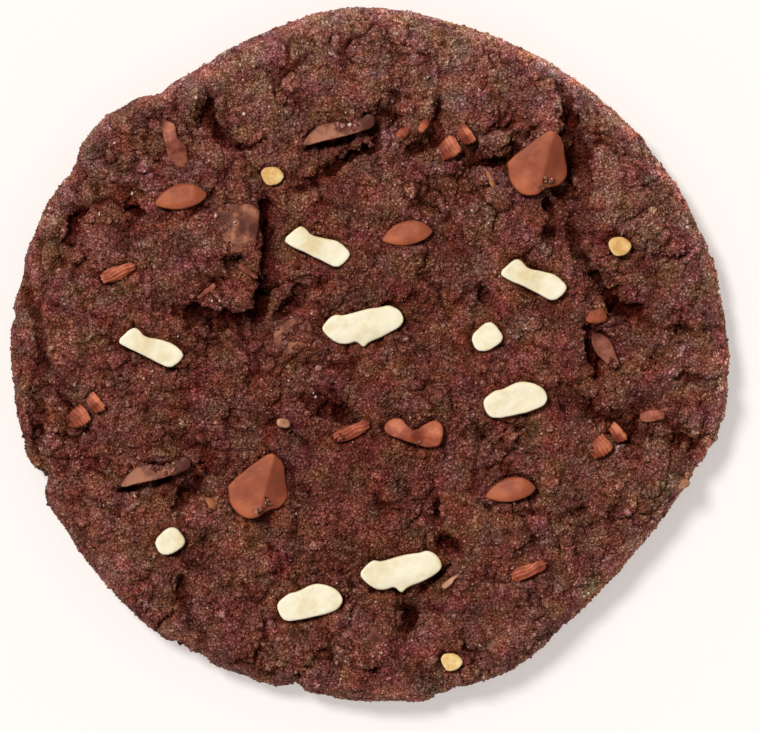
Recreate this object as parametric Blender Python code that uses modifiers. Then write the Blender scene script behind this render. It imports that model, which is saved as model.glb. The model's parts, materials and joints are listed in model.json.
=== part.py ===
"""A soft chocolate cookie with pieces of white, milk and dark chocolate pressed into its top.

Sizes are millimetres on the cookie and become metres where meshes are made. The origin is the middle of
the flat foot, +X is right, +Y is away from the viewer and +Z is up. Angles are degrees, anticlockwise
from +X. A piece's turn is the angle of its long side.
"""

import math

import bmesh
import bpy
import numpy as np
from mathutils import Euler, Matrix, Vector

MM = 0.001
GAP = 0.3  # clearance between a piece of chocolate and the dough round it
WELD = 0.00001  # metres

# Outline of the cookie from above: angle, radius. A smooth closed curve runs through these.
OUTLINE = (
    (0, 46.2),
    (14, 45.6),
    (34, 44.8),
    (60, 44.1),
    (75, 43.9),
    (92, 44.8),
    (110, 43.8),
    (127, 43.6),
    (138, 45.9),
    (152, 45.8),
    (165, 46.3),
    (183, 46.2),
    (198, 46.2),
    (208, 45.6),
    (220, 45.0),
    (232, 45.3),
    (244, 44.6),
    (257, 44.2),
    (270, 44.7),
    (292, 44.5),
    (307, 42.9),
    (323, 42.7),
    (337, 44.1),
    (347, 45.9),
)
# Short dents in the outline: angle, half width, depth
NOTCHES = (
    (129, 2.0, 0.5),
    (147, 1.6, 0.5),
    (174, 1.0, 0.4),
    (201, 1.6, 1.0),
    (237, 2.2, 0.6),
    (257, 1.8, 0.5),
    (284, 1.6, 0.5),
    (341, 1.4, 0.4),
)

# The edge in section. Below the widest level it rolls in to the foot, above it over the shoulder.
WIDEST_HEIGHT = 3.4
FOOT_INSET = 3.4
FOOT_DIP = 0.3  # how far the rounded underside would reach below the foot, which is cut flat
EDGE_RELIEF = 0.5  # share of the lumps and cracks that shows on the upright edge
SHOULDER_HEIGHT = 8.4
SHOULDER_INSET = 5.2
SHOULDER_FULLNESS = 2.3
CROWN_RISE = 2.6  # how far the middle stands above the shoulder

# Lumps in the dough: how far across, how high, seed
LUMPS = ((13.0, 0.55, 3), (6.5, 0.5, 5), (3.2, 0.32, 8), (1.9, 0.16, 13))

# Cracks and folds in the top: half width, depth, then the points that the crack runs through
CRACKS = (
    (1.0, 1.5, ((-21.4, 31.6), (-20.4, 29.4), (-18.8, 27.9))),
    (1.0, 1.4, ((-38.1, 22.2), (-33.3, 21.4), (-29.6, 19.6), (-31.0, 17.3))),
    (0.9, 1.5, ((-0.4, 28.9), (1.6, 31.0), (3.2, 32.7))),
    (0.6, 0.9, ((-1.8, 25.3), (1.0, 27.2))),
    (0.8, 1.2, ((-10.4, 20.4), (-6.6, 22.6), (-3.5, 25.2))),
    (0.8, 1.2, ((5.0, 25.2), (8.4, 28.3))),
    (0.9, 1.8, ((11.6, 26.2), (14.8, 24.9), (17.2, 24.3), (19.2, 28.0))),
    (0.8, 1.3, ((22.6, 15.4), (23.4, 18.4), (24.4, 21.2))),
    (1.4, 1.6, ((25.4, 30.4), (26.6, 26.6), (25.6, 21.4))),
    (0.8, 1.2, ((24.6, 34.0), (26.2, 30.2))),
    (1.1, 1.5, ((25.6, 17.0), (26.8, 13.4), (28.1, 10.0), (31.4, 6.4), (36.0, 3.8))),
    (0.8, 1.6, ((27.7, 3.2), (28.3, -0.5), (29.8, -4.0))),
    (1.2, 1.1, ((25.7, -6.3), (30.3, -8.0), (35.0, -10.2))),
    (0.6, 0.9, ((38.6, 3.2), (42.0, 2.7), (45.2, 3.2))),
    (0.6, 0.9, ((40.0, -2.9), (43.0, -3.4), (46.2, -3.0))),
    (0.7, 1.0, ((36.2, -10.7), (40.4, -11.2), (44.8, -12.6))),
    (1.0, 1.3, ((-24.6, -10.8), (-22.0, -12.2), (-20.2, -14.4))),
    (0.9, 1.3, ((-24.9, -20.0), (-22.3, -16.4))),
    (1.2, 1.5, ((-24.4, 5.6), (-20.1, 3.8), (-14.2, 4.6), (-13.0, 9.0), (-13.2, 19.4))),
    (0.8, 1.1, ((-11.9, 5.0), (-9.4, 7.4), (-6.4, 9.4))),
    (0.7, 1.0, ((2.6, 5.5), (6.0, 7.6))),
    (0.9, 1.0, ((-8.6, -6.0), (-5.2, -7.6), (-1.8, -8.1))),
    (0.9, 1.2, ((7.6, -18.8), (9.0, -22.6), (9.8, -26.2))),
    (0.9, 1.3, ((3.4, -37.2), (5.1, -33.3), (6.4, -30.2))),
    (0.8, 1.0, ((23.6, -21.7), (27.2, -20.0))),
    (0.7, 0.9, ((27.0, -22.8), (30.8, -21.0), (32.6, -18.6))),
    (0.8, 1.0, ((19.2, -26.2), (22.8, -22.5))),
    (0.9, 1.3, ((-24.6, -29.4), (-23.4, -33.0), (-21.5, -36.5), (-21.9, -41.0))),
    (0.9, 1.2, ((-45.6, 11.0), (-42.8, 3.6), (-42.0, -0.8), (-43.0, -8.5), (-42.6, -15.4))),
    (0.8, 1.0, ((-39.6, 24.6), (-37.4, 20.6), (-38.6, 14.0), (-41.4, 8.6))),
    (0.8, 1.1, ((-33.6, 33.6), (-29.4, 30.0), (-27.0, 24.0))),
    (0.7, 0.9, ((9.0, -46.0), (8.4, -42.6), (6.2, -40.2))),
    (0.7, 0.9, ((-10.2, -45.0), (-9.0, -41.4), (-6.0, -38.6))),
)
# Hollows, and mounds where the depth is negative: x, y, half width, depth
HOLLOWS = (
    (-31.4, 19.4, 3.2, 0.9),
    (14.6, 7.8, 1.0, 1.2),
    (4.2, -17.3, 1.0, 0.8),
    (-15.0, 31.0, 4.5, -0.7),
    (8.0, 37.0, 6.0, -0.6),
    (-1.0, 17.0, 6.0, -0.5),
    (34.0, 20.0, 5.0, -0.6),
    (-22.0, 10.0, 6.0, -0.7),
    (-36.0, 14.0, 4.0, 0.4),
    (-5.0, -22.0, 6.0, -0.6),
    (22.0, 3.0, 5.0, -0.4),
    (14.0, -30.0, 5.0, -0.5),
    (-30.0, -26.0, 6.0, -0.5),
    (-2.0, -36.0, 5.0, -0.6),
    (-2.6, -38.0, 2.6, -0.5),
    (12.0, -12.0, 4.0, 0.4),
    (-36.0, -2.0, 4.0, -0.5),
    (36.0, -16.0, 4.0, -0.4),
)

DOUGH_RINGS = 52
DOUGH_TRIANGLES = 5600

# Outlines of the flat-topped pieces, x and y from each piece's own middle
STICK = (
    (-4.4, 0.9),
    (-2.3, 2.75),
    (-1.5, 2.5),
    (-0.7, 1.45),
    (1.3, 1.15),
    (3.0, 0.65),
    (4.4, -0.75),
    (3.8, -1.75),
    (2.5, -2.7),
    (0.75, -1.8),
    (-1.6, -0.55),
    (-3.1, 0.0),
)
LONG_OVAL = (
    (-5.4, -0.3),
    (-4.3, 1.0),
    (-3.4, 1.5),
    (-2.7, 1.2),
    (0.25, 2.1),
    (2.4, 2.4),
    (3.4, 2.75),
    (4.8, 2.0),
    (5.4, 0.7),
    (4.7, -0.3),
    (2.3, -1.5),
    (0.7, -2.1),
    (0.1, -2.9),
    (-0.8, -1.95),
    (-2.0, -2.4),
    (-3.2, -2.35),
    (-4.6, -1.35),
)
SHORT_OVAL = (
    (-4.3, -0.1),
    (-2.6, 1.25),
    (-1.8, 1.25),
    (0.5, 2.4),
    (2.1, 2.2),
    (3.6, 1.5),
    (4.3, 0.2),
    (3.5, -1.0),
    (1.5, -1.6),
    (-1.0, -2.2),
    (-3.0, -2.4),
    (-3.8, -1.7),
)
DOT = ((-2.2, 0.05), (-0.4, 1.75), (0.8, 1.9), (2.15, 0.15), (1.7, -0.8), (0.1, -1.8), (-1.4, -1.8))
NUB = ((-1.6, 0.5), (-1.0, 1.2), (0.6, 1.2), (1.6, 0.1), (0.8, -1.0), (-0.6, -1.25), (-1.2, -0.5))
LENS = (
    (-3.65, -0.9),
    (-2.4, 0.6),
    (-0.9, 1.55),
    (0.6, 1.85),
    (2.1, 1.5),
    (3.5, 0.35),
    (2.75, -0.5),
    (1.7, -1.1),
    (0.2, -1.5),
    (-1.3, -1.6),
    (-2.6, -1.3),
)
SMALL_OVAL = (
    (-2.4, -0.3),
    (-1.7, 0.35),
    (1.6, 1.4),
    (2.4, 1.05),
    (2.2, 0.15),
    (-0.35, -1.2),
    (-1.8, -1.5),
    (-2.3, -1.0),
)
# Flat-topped pieces: name, finish, outline, x, y, share of the size, thickness, slant of the edges, and how
# high the top lies over the dough
PLATES = (
    ("White_stick_upper", "white", STICK, -6.86, 13.67, 1.0, 2.6, 0.4, 1.3),
    ("White_stick_right", "white", STICK, 20.85, 9.42, 1.01, 2.6, 0.4, 1.3),
    ("White_stick_left", "white", STICK, -28.19, 0.74, 0.99, 2.6, 0.4, 1.3),
    ("White_oval_middle", "white", LONG_OVAL, -0.97, 3.61, 1.0, 2.8, 0.5, 1.3),
    ("White_oval_right", "white", SHORT_OVAL, 18.58, -5.87, 1.0, 2.8, 0.5, 1.3),
    ("White_oval_front", "white", LONG_OVAL, 3.90, -27.89, 1.0, 2.8, 0.5, 1.3),
    ("White_oval_front_left", "white", SHORT_OVAL, -7.73, -31.84, 1.02, 2.8, 0.5, 1.3),
    ("White_dot_right", "white", DOT, 14.96, 2.19, 1.0, 2.6, 0.5, 1.3),
    ("White_dot_left", "white", DOT, -25.67, -23.99, 0.96, 2.6, 0.5, 1.3),
    ("Gold_bit_upper", "gold", NUB, -12.51, 22.77, 1.0, 2.0, 0.3, 0.9),
    ("Gold_bit_right", "gold", NUB, 32.02, 13.76, 1.0, 2.0, 0.3, 0.9),
    ("Gold_bit_front", "gold", NUB, 10.45, -39.60, 0.95, 2.0, 0.3, 0.9),
    ("Milk_lens_left", "milk", LENS, -24.19, 20.12, 1.0, 2.4, 0.7, 1.0),
    ("Milk_lens_upper", "milk", LENS, 4.77, 15.42, 0.98, 2.4, 0.7, 1.0),
    ("Milk_lens_right", "milk", LENS, 18.00, -17.48, 0.97, 2.4, 0.7, 1.0),
    ("Milk_oval_left", "milk_pale", SMALL_OVAL, -32.31, 10.45, 0.96, 2.0, 0.4, 0.8),
    ("Milk_oval_middle", "milk_pale", SMALL_OVAL, -2.39, -9.87, 1.0, 2.0, 0.4, 0.8),
    ("Milk_oval_front", "milk_pale", SMALL_OVAL, 20.32, -27.80, 0.96, 2.0, 0.4, 0.8),
)

# Rounded pieces: name, finish, x, y, length, width, thickness, turn, fullness, waist, point, lift.
# Fullness 2 is an ellipse and 4 nearly a box, waist narrows the middle, point narrows the left end, and
# lift is how high the piece's middle lies over the dough.
PEBBLES = (
    ("Red_sliver", "red", -25.0, 26.7, 6.4, 1.8, 1.6, -72, 2.8, 0.0, 0.1, 0.1),
    ("Chip_upper_a", "milk_pale", 4.3, 28.3, 2.0, 1.3, 1.2, 30, 2.4, 0.0, 0.0, 0.1),
    ("Chip_upper_b", "milk_pale", 6.9, 29.4, 2.2, 1.4, 1.3, 55, 2.4, 0.0, 0.0, 0.1),
    ("Chip_middle_left", "tan", -11.2, -8.8, 1.8, 1.3, 1.2, -10, 2.4, 0.0, 0.0, 0.1),
    ("Chip_lower_left", "amber", -20.6, -19.1, 2.2, 1.1, 1.1, -50, 2.2, 0.0, 0.2, 0.1),
    ("Chip_upper_right", "amber", 15.4, 22.4, 2.4, 1.0, 1.1, -65, 2.2, 0.0, 0.2, 0.1),
    ("Chip_front", "tan", 10.4, -29.0, 2.9, 1.0, 1.1, 38, 2.2, 0.0, 0.2, 0.1),
    ("Chip_right_small", "milk", 29.0, 4.8, 2.9, 2.5, 1.8, 20, 2.2, 0.0, 0.3, 0.2),
    ("Chip_right_red", "red", 36.2, -7.9, 3.0, 2.0, 1.3, 10, 2.2, 0.0, 0.0, -0.1),
    ("Chip_edge", "tan", 40.2, -16.7, 1.8, 1.5, 1.3, 20, 2.4, 0.0, 0.0, 0.1),
    ("Dark_pebble", "dark", -9.8, 2.4, 5.2, 4.6, 2.2, 35, 2.8, 0.0, 0.0, -0.5),
)
ROUND_SIDES_LARGE = (12, 8)  # round the long axis, along it
ROUND_SIDES_SMALL = (8, 6)
LARGE_PEBBLE = 5.0  # shortest that counts as large

# Flat sides that cut a lump of chocolate out of a block: direction, slope up from level, distance from its
# middle. A slope of 90 is a level top.
MILK_CHUNK = (
    (131, 12, 2.95),
    (90, 10, 4.15),
    (41, 8, 4.5),
    (10, 10, 3.75),
    (-19, 8, 3.9),
    (-67, 12, 3.5),
    (-106, 12, 4.2),
    (-145, 10, 3.95),
    (-164, 10, 3.7),
    (164, 76, 1.55),
    (-16, 58, 1.75),
    (-80, 52, 3.1),
)
DARK_WEDGE = (
    (-90, -32, 1.15),
    (90, 20, 1.5),
    (133, 20, 2.75),
    (55, 10, 4.0),
    (0, 6, 4.8),
    (-45, 6, 4.3),
    (105, 70, 0.65),
)
BOAT = (
    (-168, 14, 3.3),
    (-112, 12, 2.2),
    (-80, 12, 1.7),
    (-4, 6, 3.45),
    (84, 14, 1.65),
    (112, 12, 2.0),
    (-90, 72, 1.1),
)
BURIED_BLOCK = (
    (4, 4, 3.1),
    (90, 8, 3.3),
    (180, 10, 3.2),
    (-90, 8, 3.3),
    (-55, 10, 4.2),
    (140, 10, 4.3),
    (183, 73, 1.25),
    (5, 84, 1.0),
)
LOW_BLOCK = (
    (-5, 8, 3.9),
    (38, 10, 3.6),
    (92, 10, 2.7),
    (175, 10, 3.8),
    (-88, 10, 2.7),
    (-135, 10, 3.9),
    (120, 80, 0.9),
)
SHARD = (
    (70, 10, 1.1),
    (-110, 10, 1.1),
    (-8, 8, 2.9),
    (172, 8, 2.8),
    (30, 14, 2.6),
    (-150, 14, 2.6),
    (70, 66, 0.9),
)
CUBE_BIT = (
    (0, 4, 1.25),
    (90, 4, 1.05),
    (180, 4, 1.25),
    (-90, 4, 1.05),
    (60, 84, 1.0),
)
# Cut pieces: name, finish, cuts, x, y, turn, lift of the middle over the dough
BLOCKS = (
    ("Milk_chunk_back", "milk", MILK_CHUNK, 21.3, 24.4, 0, 0.5),
    ("Milk_chunk_front", "milk", MILK_CHUNK, -14.4, -17.0, 2, 0.5),
    ("Dark_wedge_back", "dark", DARK_WEDGE, -4.0, 28.8, 21, 0.1),
    ("Dark_wedge_left", "dark", DARK_WEDGE, -27.4, -15.0, 21, 0.1),
    ("Dark_block", "dark", BURIED_BLOCK, -17.4, 16.0, -1, -0.4),
    ("Dark_block_front", "dark", LOW_BLOCK, -1.2, -37.0, 0, -1.3),
    ("Dark_shard", "dark_red", SHARD, 30.4, -0.2, -62, 0.0),
    ("Milk_boat", "milk_pale", BOAT, 5.9, -10.2, -6, 0.1),
    ("Milk_cube_back_a", "milk_pale", CUBE_BIT, 9.6, 26.5, 30, 0.3),
    ("Milk_cube_back_b", "milk_pale", CUBE_BIT, 12.4, 28.2, 32, 0.3),
    ("Milk_cube_left_a", "milk_pale", CUBE_BIT, -37.5, -7.9, 52, 0.3),
    ("Milk_cube_left_b", "milk_pale", CUBE_BIT, -35.0, -6.2, 52, 0.3),
    ("Milk_cube_right_a", "milk_pale", CUBE_BIT, 28.7, -11.8, 40, 0.3),
    ("Milk_cube_right_b", "milk_pale", CUBE_BIT, 31.3, -9.9, 42, 0.3),
)
BLOCK_HALF_DEPTH = 1.5  # below a cut piece's middle
BLOCK_REACH = 8.0  # half of the block that it is cut from
BLOCK_BEVEL = 0.2
SLAB_DEPTH = 4.0
SLAB_SIDE = 120.0

# Base colour in linear light, roughness
FINISHES = {
    "dough": ((0.075, 0.030, 0.020), 0.85),
    "white": ((0.90, 0.80, 0.56), 0.5),
    "gold": ((0.80, 0.52, 0.21), 0.6),
    "milk": ((0.33, 0.115, 0.065), 0.45),
    "milk_pale": ((0.31, 0.095, 0.055), 0.5),
    "red": ((0.20, 0.055, 0.040), 0.6),
    "amber": ((0.38, 0.14, 0.06), 0.6),
    "tan": ((0.42, 0.20, 0.11), 0.6),
    "dark": ((0.13, 0.052, 0.035), 0.45),
    "dark_red": ((0.12, 0.040, 0.030), 0.45),
}


def clear_scene():
    """Empties the scene."""
    for thing in list(bpy.data.objects):
        bpy.data.objects.remove(thing, do_unlink=True)


def new_collection(name):
    """A collection in the scene."""
    made = bpy.data.collections.new(name)
    bpy.context.scene.collection.children.link(made)
    return made


def finish(name):
    """The material of one finish, made when it is first asked for."""
    made = bpy.data.materials.get(name)
    if made is None:
        colour, roughness = FINISHES[name]
        made = bpy.data.materials.new(name)
        made.use_nodes = True
        surface = made.node_tree.nodes["Principled BSDF"]
        surface.inputs["Base Color"].default_value = (*colour, 1.0)
        surface.inputs["Roughness"].default_value = roughness
        surface.inputs["Metallic"].default_value = 0.0
    return made


def new_object(name, mesh, collection, look=None):
    """An object of this mesh in a collection, with its finish."""
    made = bpy.data.objects.new(name, mesh)
    collection.objects.link(made)
    if look:
        mesh.materials.append(finish(look))
    return made


def smooth_closed(points, at):
    """A smooth curve that closes on itself through (degrees, value) points, read at some degrees."""
    angle = np.array([a for a, _ in points], float)
    value = np.array([v for _, v in points], float)
    angle = np.concatenate([angle[-2:] - 360, angle, angle[:2] + 360])
    value = np.concatenate([value[-2:], value, value[:2]])
    slope = np.gradient(value, angle)
    low = np.clip(np.searchsorted(angle, at, side="right") - 1, 0, len(angle) - 2)
    span = angle[low + 1] - angle[low]
    t = (at - angle[low]) / span
    start = (1 + 2 * t) * (1 - t) ** 2 * value[low] + t * (1 - t) ** 2 * span * slope[low]
    end = t * t * (3 - 2 * t) * value[low + 1] + t * t * (t - 1) * span * slope[low + 1]
    return start + end


def outline_radius(angle):
    """The cookie's radius at some angles in radians."""
    degrees = np.degrees(angle) % 360
    radius = smooth_closed(OUTLINE, degrees)
    for where, half_width, depth in NOTCHES:
        away = (degrees - where + 180) % 360 - 180
        radius = radius - depth * np.exp(-((away / half_width) ** 2))
    return radius


def lumps(points, across, seed):
    """Smooth noise from -1 to 1 in space, with lumps about this far across."""
    size = 48
    table = np.random.default_rng(seed).uniform(-1, 1, (size, size, size))
    place = points / across + size / 2 + 0.37 * seed
    cell = np.floor(place).astype(int)
    part = place - cell
    part = part * part * (3 - 2 * part)
    total = 0.0
    for corner in np.ndindex(2, 2, 2):
        at = (cell + corner) % size
        weight = np.prod(np.where(corner, part, 1 - part), axis=-1)
        total = total + weight * table[at[..., 0], at[..., 1], at[..., 2]]
    return total


def distance_to_line(x, y, line):
    """How far points lie from a line through several points."""
    nearest = np.full(x.shape, np.inf)
    for (x0, y0), (x1, y1) in zip(line, line[1:]):
        run_x, run_y = x1 - x0, y1 - y0
        t = np.clip(((x - x0) * run_x + (y - y0) * run_y) / (run_x**2 + run_y**2), 0, 1)
        nearest = np.minimum(nearest, np.hypot(x - x0 - t * run_x, y - y0 - t * run_y))
    return nearest


def relief(points):
    """How far the real dough stands out from its smooth form at these points."""
    x, y = points[..., 0], points[..., 1]
    out = np.zeros(x.shape)
    for across, height, seed in LUMPS:
        out += height * lumps(points, across, seed)
    waver = 0.5 * lumps(points, 2.4, 21)
    for half_width, depth, line in CRACKS:
        out -= depth * np.exp(-(((distance_to_line(x, y, line) + waver) / half_width) ** 2))
    for at_x, at_y, half_width, depth in HOLLOWS:
        out -= depth * np.exp(-(((x - at_x) ** 2 + (y - at_y) ** 2) / half_width**2))
    return out


def quarter(turn, inset, rise, fullness):
    """A rounded corner in section, upright at turn 0 and level at 1: inset, rise and the way it faces."""
    swing = turn * math.pi / 2
    power = 2 / fullness
    across = inset * (1 - np.cos(swing) ** power)
    up = rise * np.sin(swing) ** power
    return across, up, np.cos(swing), np.sin(swing)


def dough_sheet(share, angle, upper):
    """Points of the upper or lower half of the smooth dough, and the ways that they face.

    Share is the way out from the middle, measured along the surface: 1 is the widest level.
    """
    radius = outline_radius(angle)
    if upper:
        inset, rise = SHOULDER_INSET, SHOULDER_HEIGHT - WIDEST_HEIGHT
    else:
        inset, rise = FOOT_INSET, -WIDEST_HEIGHT - FOOT_DIP
    corner = math.pi / 4 * (inset + abs(rise))
    flat_share = 1 - corner / (radius - inset + corner)
    turn = np.clip((1 - share) / (1 - flat_share), 0, 1)
    across, up, face_out, face_up = quarter(turn, inset, rise, SHOULDER_FULLNESS)
    flat = np.clip(share / flat_share, 0, 1)
    out = np.where(turn < 1, radius - across, (radius - inset) * flat)
    height = WIDEST_HEIGHT + up
    if upper:
        height = height + CROWN_RISE * (1 - (out / radius) ** 2)
    points = np.stack([out * np.cos(angle), out * np.sin(angle), height], axis=-1)
    face_up = face_up if upper else -face_up
    face_out = EDGE_RELIEF * face_out
    facing = np.stack([face_out * np.cos(angle), face_out * np.sin(angle), face_up], axis=-1)
    return points, facing


def shaped_sheet(share, angle, upper):
    """Points of the upper or lower half of the dough with its lumps and cracks, which fade to the foot."""
    points, facing = dough_sheet(share, angle, upper)
    stand = relief(points)
    if not upper:
        stand = stand * np.clip(points[..., 2] / WIDEST_HEIGHT, 0, 1)
    return points + stand[..., None] * facing


def disc_place(square):
    """Share of the radius and angle of points of a square from -1 to 1 that is pressed into a disc."""
    u, v = square[:, 0], square[:, 1]
    wide = np.abs(u) >= np.abs(v)
    safe_u = np.where(u == 0, 1, u)
    safe_v = np.where(v == 0, 1, v)
    angle = np.where(wide, math.pi / 4 * v / safe_u, math.pi / 2 - math.pi / 4 * u / safe_v)
    turned = np.where(wide, u < 0, v < 0)
    return np.maximum(np.abs(u), np.abs(v)), angle + math.pi * turned


def dough_half(rings, upper):
    """A grid pressed into the upper or lower half of the dough, in metres."""
    form = bmesh.new()
    bmesh.ops.create_grid(form, x_segments=2 * rings, y_segments=2 * rings, size=1.0)
    if not upper:
        bmesh.ops.reverse_faces(form, faces=form.faces)
    mesh = bpy.data.meshes.new("half")
    form.to_mesh(mesh)
    form.free()
    square = np.empty(len(mesh.vertices) * 3)
    mesh.vertices.foreach_get("co", square)
    square = np.round(square.reshape(-1, 3), 6)
    share, angle = disc_place(square)
    points = shaped_sheet(share, angle, upper)
    mesh.vertices.foreach_set("co", (points * MM).ravel())
    return mesh


def dough_mesh(rings):
    """The whole dough as one closed mesh."""
    form = bmesh.new()
    for upper in (True, False):
        half = dough_half(rings, upper)
        form.from_mesh(half)
        bpy.data.meshes.remove(half)
    seam = [v for v in form.verts if v.is_boundary]
    bmesh.ops.remove_doubles(form, verts=seam, dist=WELD)
    mesh = bpy.data.meshes.new("Dough")
    form.to_mesh(mesh)
    form.free()
    return mesh


def top_height(x, y):
    """Height of the dough's top under one point."""
    angle = np.array([math.atan2(y, x)])
    share = np.linspace(0, 1, 400)
    points = shaped_sheet(share, np.repeat(angle, 400), True)
    far = np.hypot(points[:, 0], points[:, 1])
    return float(np.interp(math.hypot(x, y), far, points[:, 2]))


def place(mesh, x, y, turn, lift):
    """Moves a mesh, made in millimetres round its middle, to its place on the dough and into metres."""
    at = Vector((x, y, top_height(x, y) + lift))
    mesh.transform(Matrix.Translation(at) @ Euler((0, 0, math.radians(turn))).to_matrix().to_4x4())
    mesh.transform(Matrix.Scale(MM, 4))


def pebble_mesh(name, size, fullness, waist, point, grow=0.0):
    """A rounded piece along X, in millimetres, with its half sizes grown by a clearance."""
    long_half, wide_half, deep_half = (s / 2 + grow for s in size)
    around, along = ROUND_SIDES_LARGE if size[0] >= LARGE_PEBBLE else ROUND_SIDES_SMALL
    form = bmesh.new()
    bmesh.ops.create_uvsphere(form, u_segments=around, v_segments=along, radius=1.0)
    bmesh.ops.rotate(form, verts=form.verts, matrix=Matrix.Rotation(math.pi / 2, 3, "Y"))
    power = 2 / fullness
    for vert in form.verts:
        s = max(-1.0, min(1.0, vert.co.x))
        ring = math.sqrt(max(0.0, 1 - s * s))
        turn = math.atan2(vert.co.z, vert.co.y)
        width = ring**power * (1 - waist * math.exp(-((s / 0.35) ** 2))) * (1 - point * (1 - s) / 2)
        vert.co.x = long_half * math.copysign(abs(s) ** power, s)
        vert.co.y = wide_half * width * math.copysign(abs(math.cos(turn)) ** power, math.cos(turn))
        vert.co.z = deep_half * width * math.copysign(abs(math.sin(turn)) ** power, math.sin(turn))
    mesh = bpy.data.meshes.new(name)
    form.to_mesh(mesh)
    form.free()
    return mesh


def grown(corners, by):
    """A closed outline, clockwise from above, with each of its sides moved out."""
    made = []
    for before, here, after in zip(corners[-1:] + corners[:-1], corners, corners[1:] + corners[:1]):
        ways = []
        for (x0, y0), (x1, y1) in ((before, here), (here, after)):
            side = math.hypot(x1 - x0, y1 - y0)
            ways.append(((y0 - y1) / side, (x1 - x0) / side))
        (first_x, first_y), (next_x, next_y) = ways
        share = by / (1 + first_x * next_x + first_y * next_y)
        made.append((here[0] + share * (first_x + next_x), here[1] + share * (first_y + next_y)))
    return tuple(made)


def plate_mesh(name, outline, share, thickness, slant, grow=0.0):
    """A flat-topped piece on an outline, in millimetres, with slanted edges above and below.

    Its top lies at height 0.
    """
    wide = tuple((share * x, share * y) for x, y in outline)
    half_x = max(abs(x) for x, _ in wide)
    half_y = max(abs(y) for _, y in wide)
    narrow = tuple((x * (1 - slant / half_x), y * (1 - slant / half_y)) for x, y in wide)
    form = bmesh.new()
    rings = []
    for corners, height in (
        (narrow, -thickness - grow),
        (wide, -thickness - grow + slant),
        (wide, grow - slant),
        (narrow, grow),
    ):
        rings.append([form.verts.new((x, y, height)) for x, y in grown(corners, grow)])
    for low, high in zip(rings, rings[1:]):
        for here in range(len(low)):
            after = (here + 1) % len(low)
            form.faces.new((low[here], low[after], high[after], high[here]))
    form.faces.new(rings[0])
    form.faces.new(rings[-1])
    bmesh.ops.recalc_face_normals(form, faces=form.faces)
    mesh = bpy.data.meshes.new(name)
    form.to_mesh(mesh)
    form.free()
    return mesh


def block_mesh(name, cuts, grow=0.0):
    """A block cut to flat sides, in millimetres, with each side moved out by a clearance."""
    form = bmesh.new()
    bmesh.ops.create_cube(form, size=2 * BLOCK_REACH)
    for direction, slope, distance in (*cuts, (0, -90, BLOCK_HALF_DEPTH)):
        level = math.cos(math.radians(slope))
        facing = Vector(
            (
                level * math.cos(math.radians(direction)),
                level * math.sin(math.radians(direction)),
                math.sin(math.radians(slope)),
            )
        )
        cut = bmesh.ops.bisect_plane(
            form,
            geom=[*form.verts, *form.edges, *form.faces],
            plane_co=facing * (distance + grow),
            plane_no=facing,
            clear_outer=True,
        )
        rim = [e for e in cut["geom_cut"] if isinstance(e, bmesh.types.BMEdge)]
        bmesh.ops.edgeloop_fill(form, edges=rim)
    bmesh.ops.recalc_face_normals(form, faces=form.faces)
    mesh = bpy.data.meshes.new(name)
    form.to_mesh(mesh)
    form.free()
    return mesh


def add_cutter(mesh, cutters):
    """A hidden solid that makes the pocket in which a piece sits."""
    cutter = new_object(mesh.name, mesh, cutters)
    cutter.hide_render = True
    cutter.display_type = "WIRE"


def add_pebbles(parts, cutters):
    """The rounded pieces and their pockets."""
    for name, look, x, y, length, width, thickness, turn, fullness, waist, point, lift in PEBBLES:
        size = (length, width, thickness)
        piece = pebble_mesh(name, size, fullness, waist, point)
        place(piece, x, y, turn, lift)
        piece.shade_smooth()
        new_object(name, piece, parts, look)
        pocket = pebble_mesh(f"{name}_pocket", size, fullness, waist, point, GAP)
        place(pocket, x, y, turn, lift)
        add_cutter(pocket, cutters)


def add_plates(parts, cutters):
    """The flat-topped pieces and their pockets."""
    for name, look, outline, x, y, share, thickness, slant, lift in PLATES:
        piece = plate_mesh(name, outline, share, thickness, slant)
        place(piece, x, y, 0, lift)
        new_object(name, piece, parts, look)
        pocket = plate_mesh(f"{name}_pocket", outline, share, thickness, slant, GAP)
        place(pocket, x, y, 0, lift)
        add_cutter(pocket, cutters)


def add_blocks(parts, cutters):
    """The cut pieces and their pockets."""
    for name, look, cuts, x, y, turn, lift in BLOCKS:
        piece = block_mesh(name, cuts)
        place(piece, x, y, turn, lift)
        made = new_object(name, piece, parts, look)
        soften = made.modifiers.new("Soft edges", "BEVEL")
        soften.width = BLOCK_BEVEL * MM
        soften.segments = 1
        soften.limit_method = "ANGLE"
        pocket = block_mesh(f"{name}_pocket", cuts, GAP)
        place(pocket, x, y, turn, lift)
        add_cutter(pocket, cutters)


def add_floor_cutter(cutters):
    """A hidden slab whose top cuts the foot flat."""
    form = bmesh.new()
    bmesh.ops.create_cube(form, size=1.0)
    mesh = bpy.data.meshes.new("Foot_cut")
    form.to_mesh(mesh)
    form.free()
    mesh.transform(Matrix.Diagonal((SLAB_SIDE * MM, SLAB_SIDE * MM, SLAB_DEPTH * MM, 1.0)))
    mesh.transform(Matrix.Translation((0, 0, -0.5 * SLAB_DEPTH * MM)))
    add_cutter(mesh, cutters)


def add_dough(parts, cutters):
    """The dough, thinned to few triangles, with a flat foot and a pocket for each piece."""
    mesh = dough_mesh(DOUGH_RINGS)
    dough = new_object("Dough", mesh, parts, "dough")
    thin = dough.modifiers.new("Thin", "DECIMATE")
    thin.ratio = DOUGH_TRIANGLES / (2 * len(mesh.polygons))
    pockets = dough.modifiers.new("Pockets", "BOOLEAN")
    pockets.operation = "DIFFERENCE"
    pockets.operand_type = "COLLECTION"
    pockets.collection = cutters
    pockets.solver = "EXACT"


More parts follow.
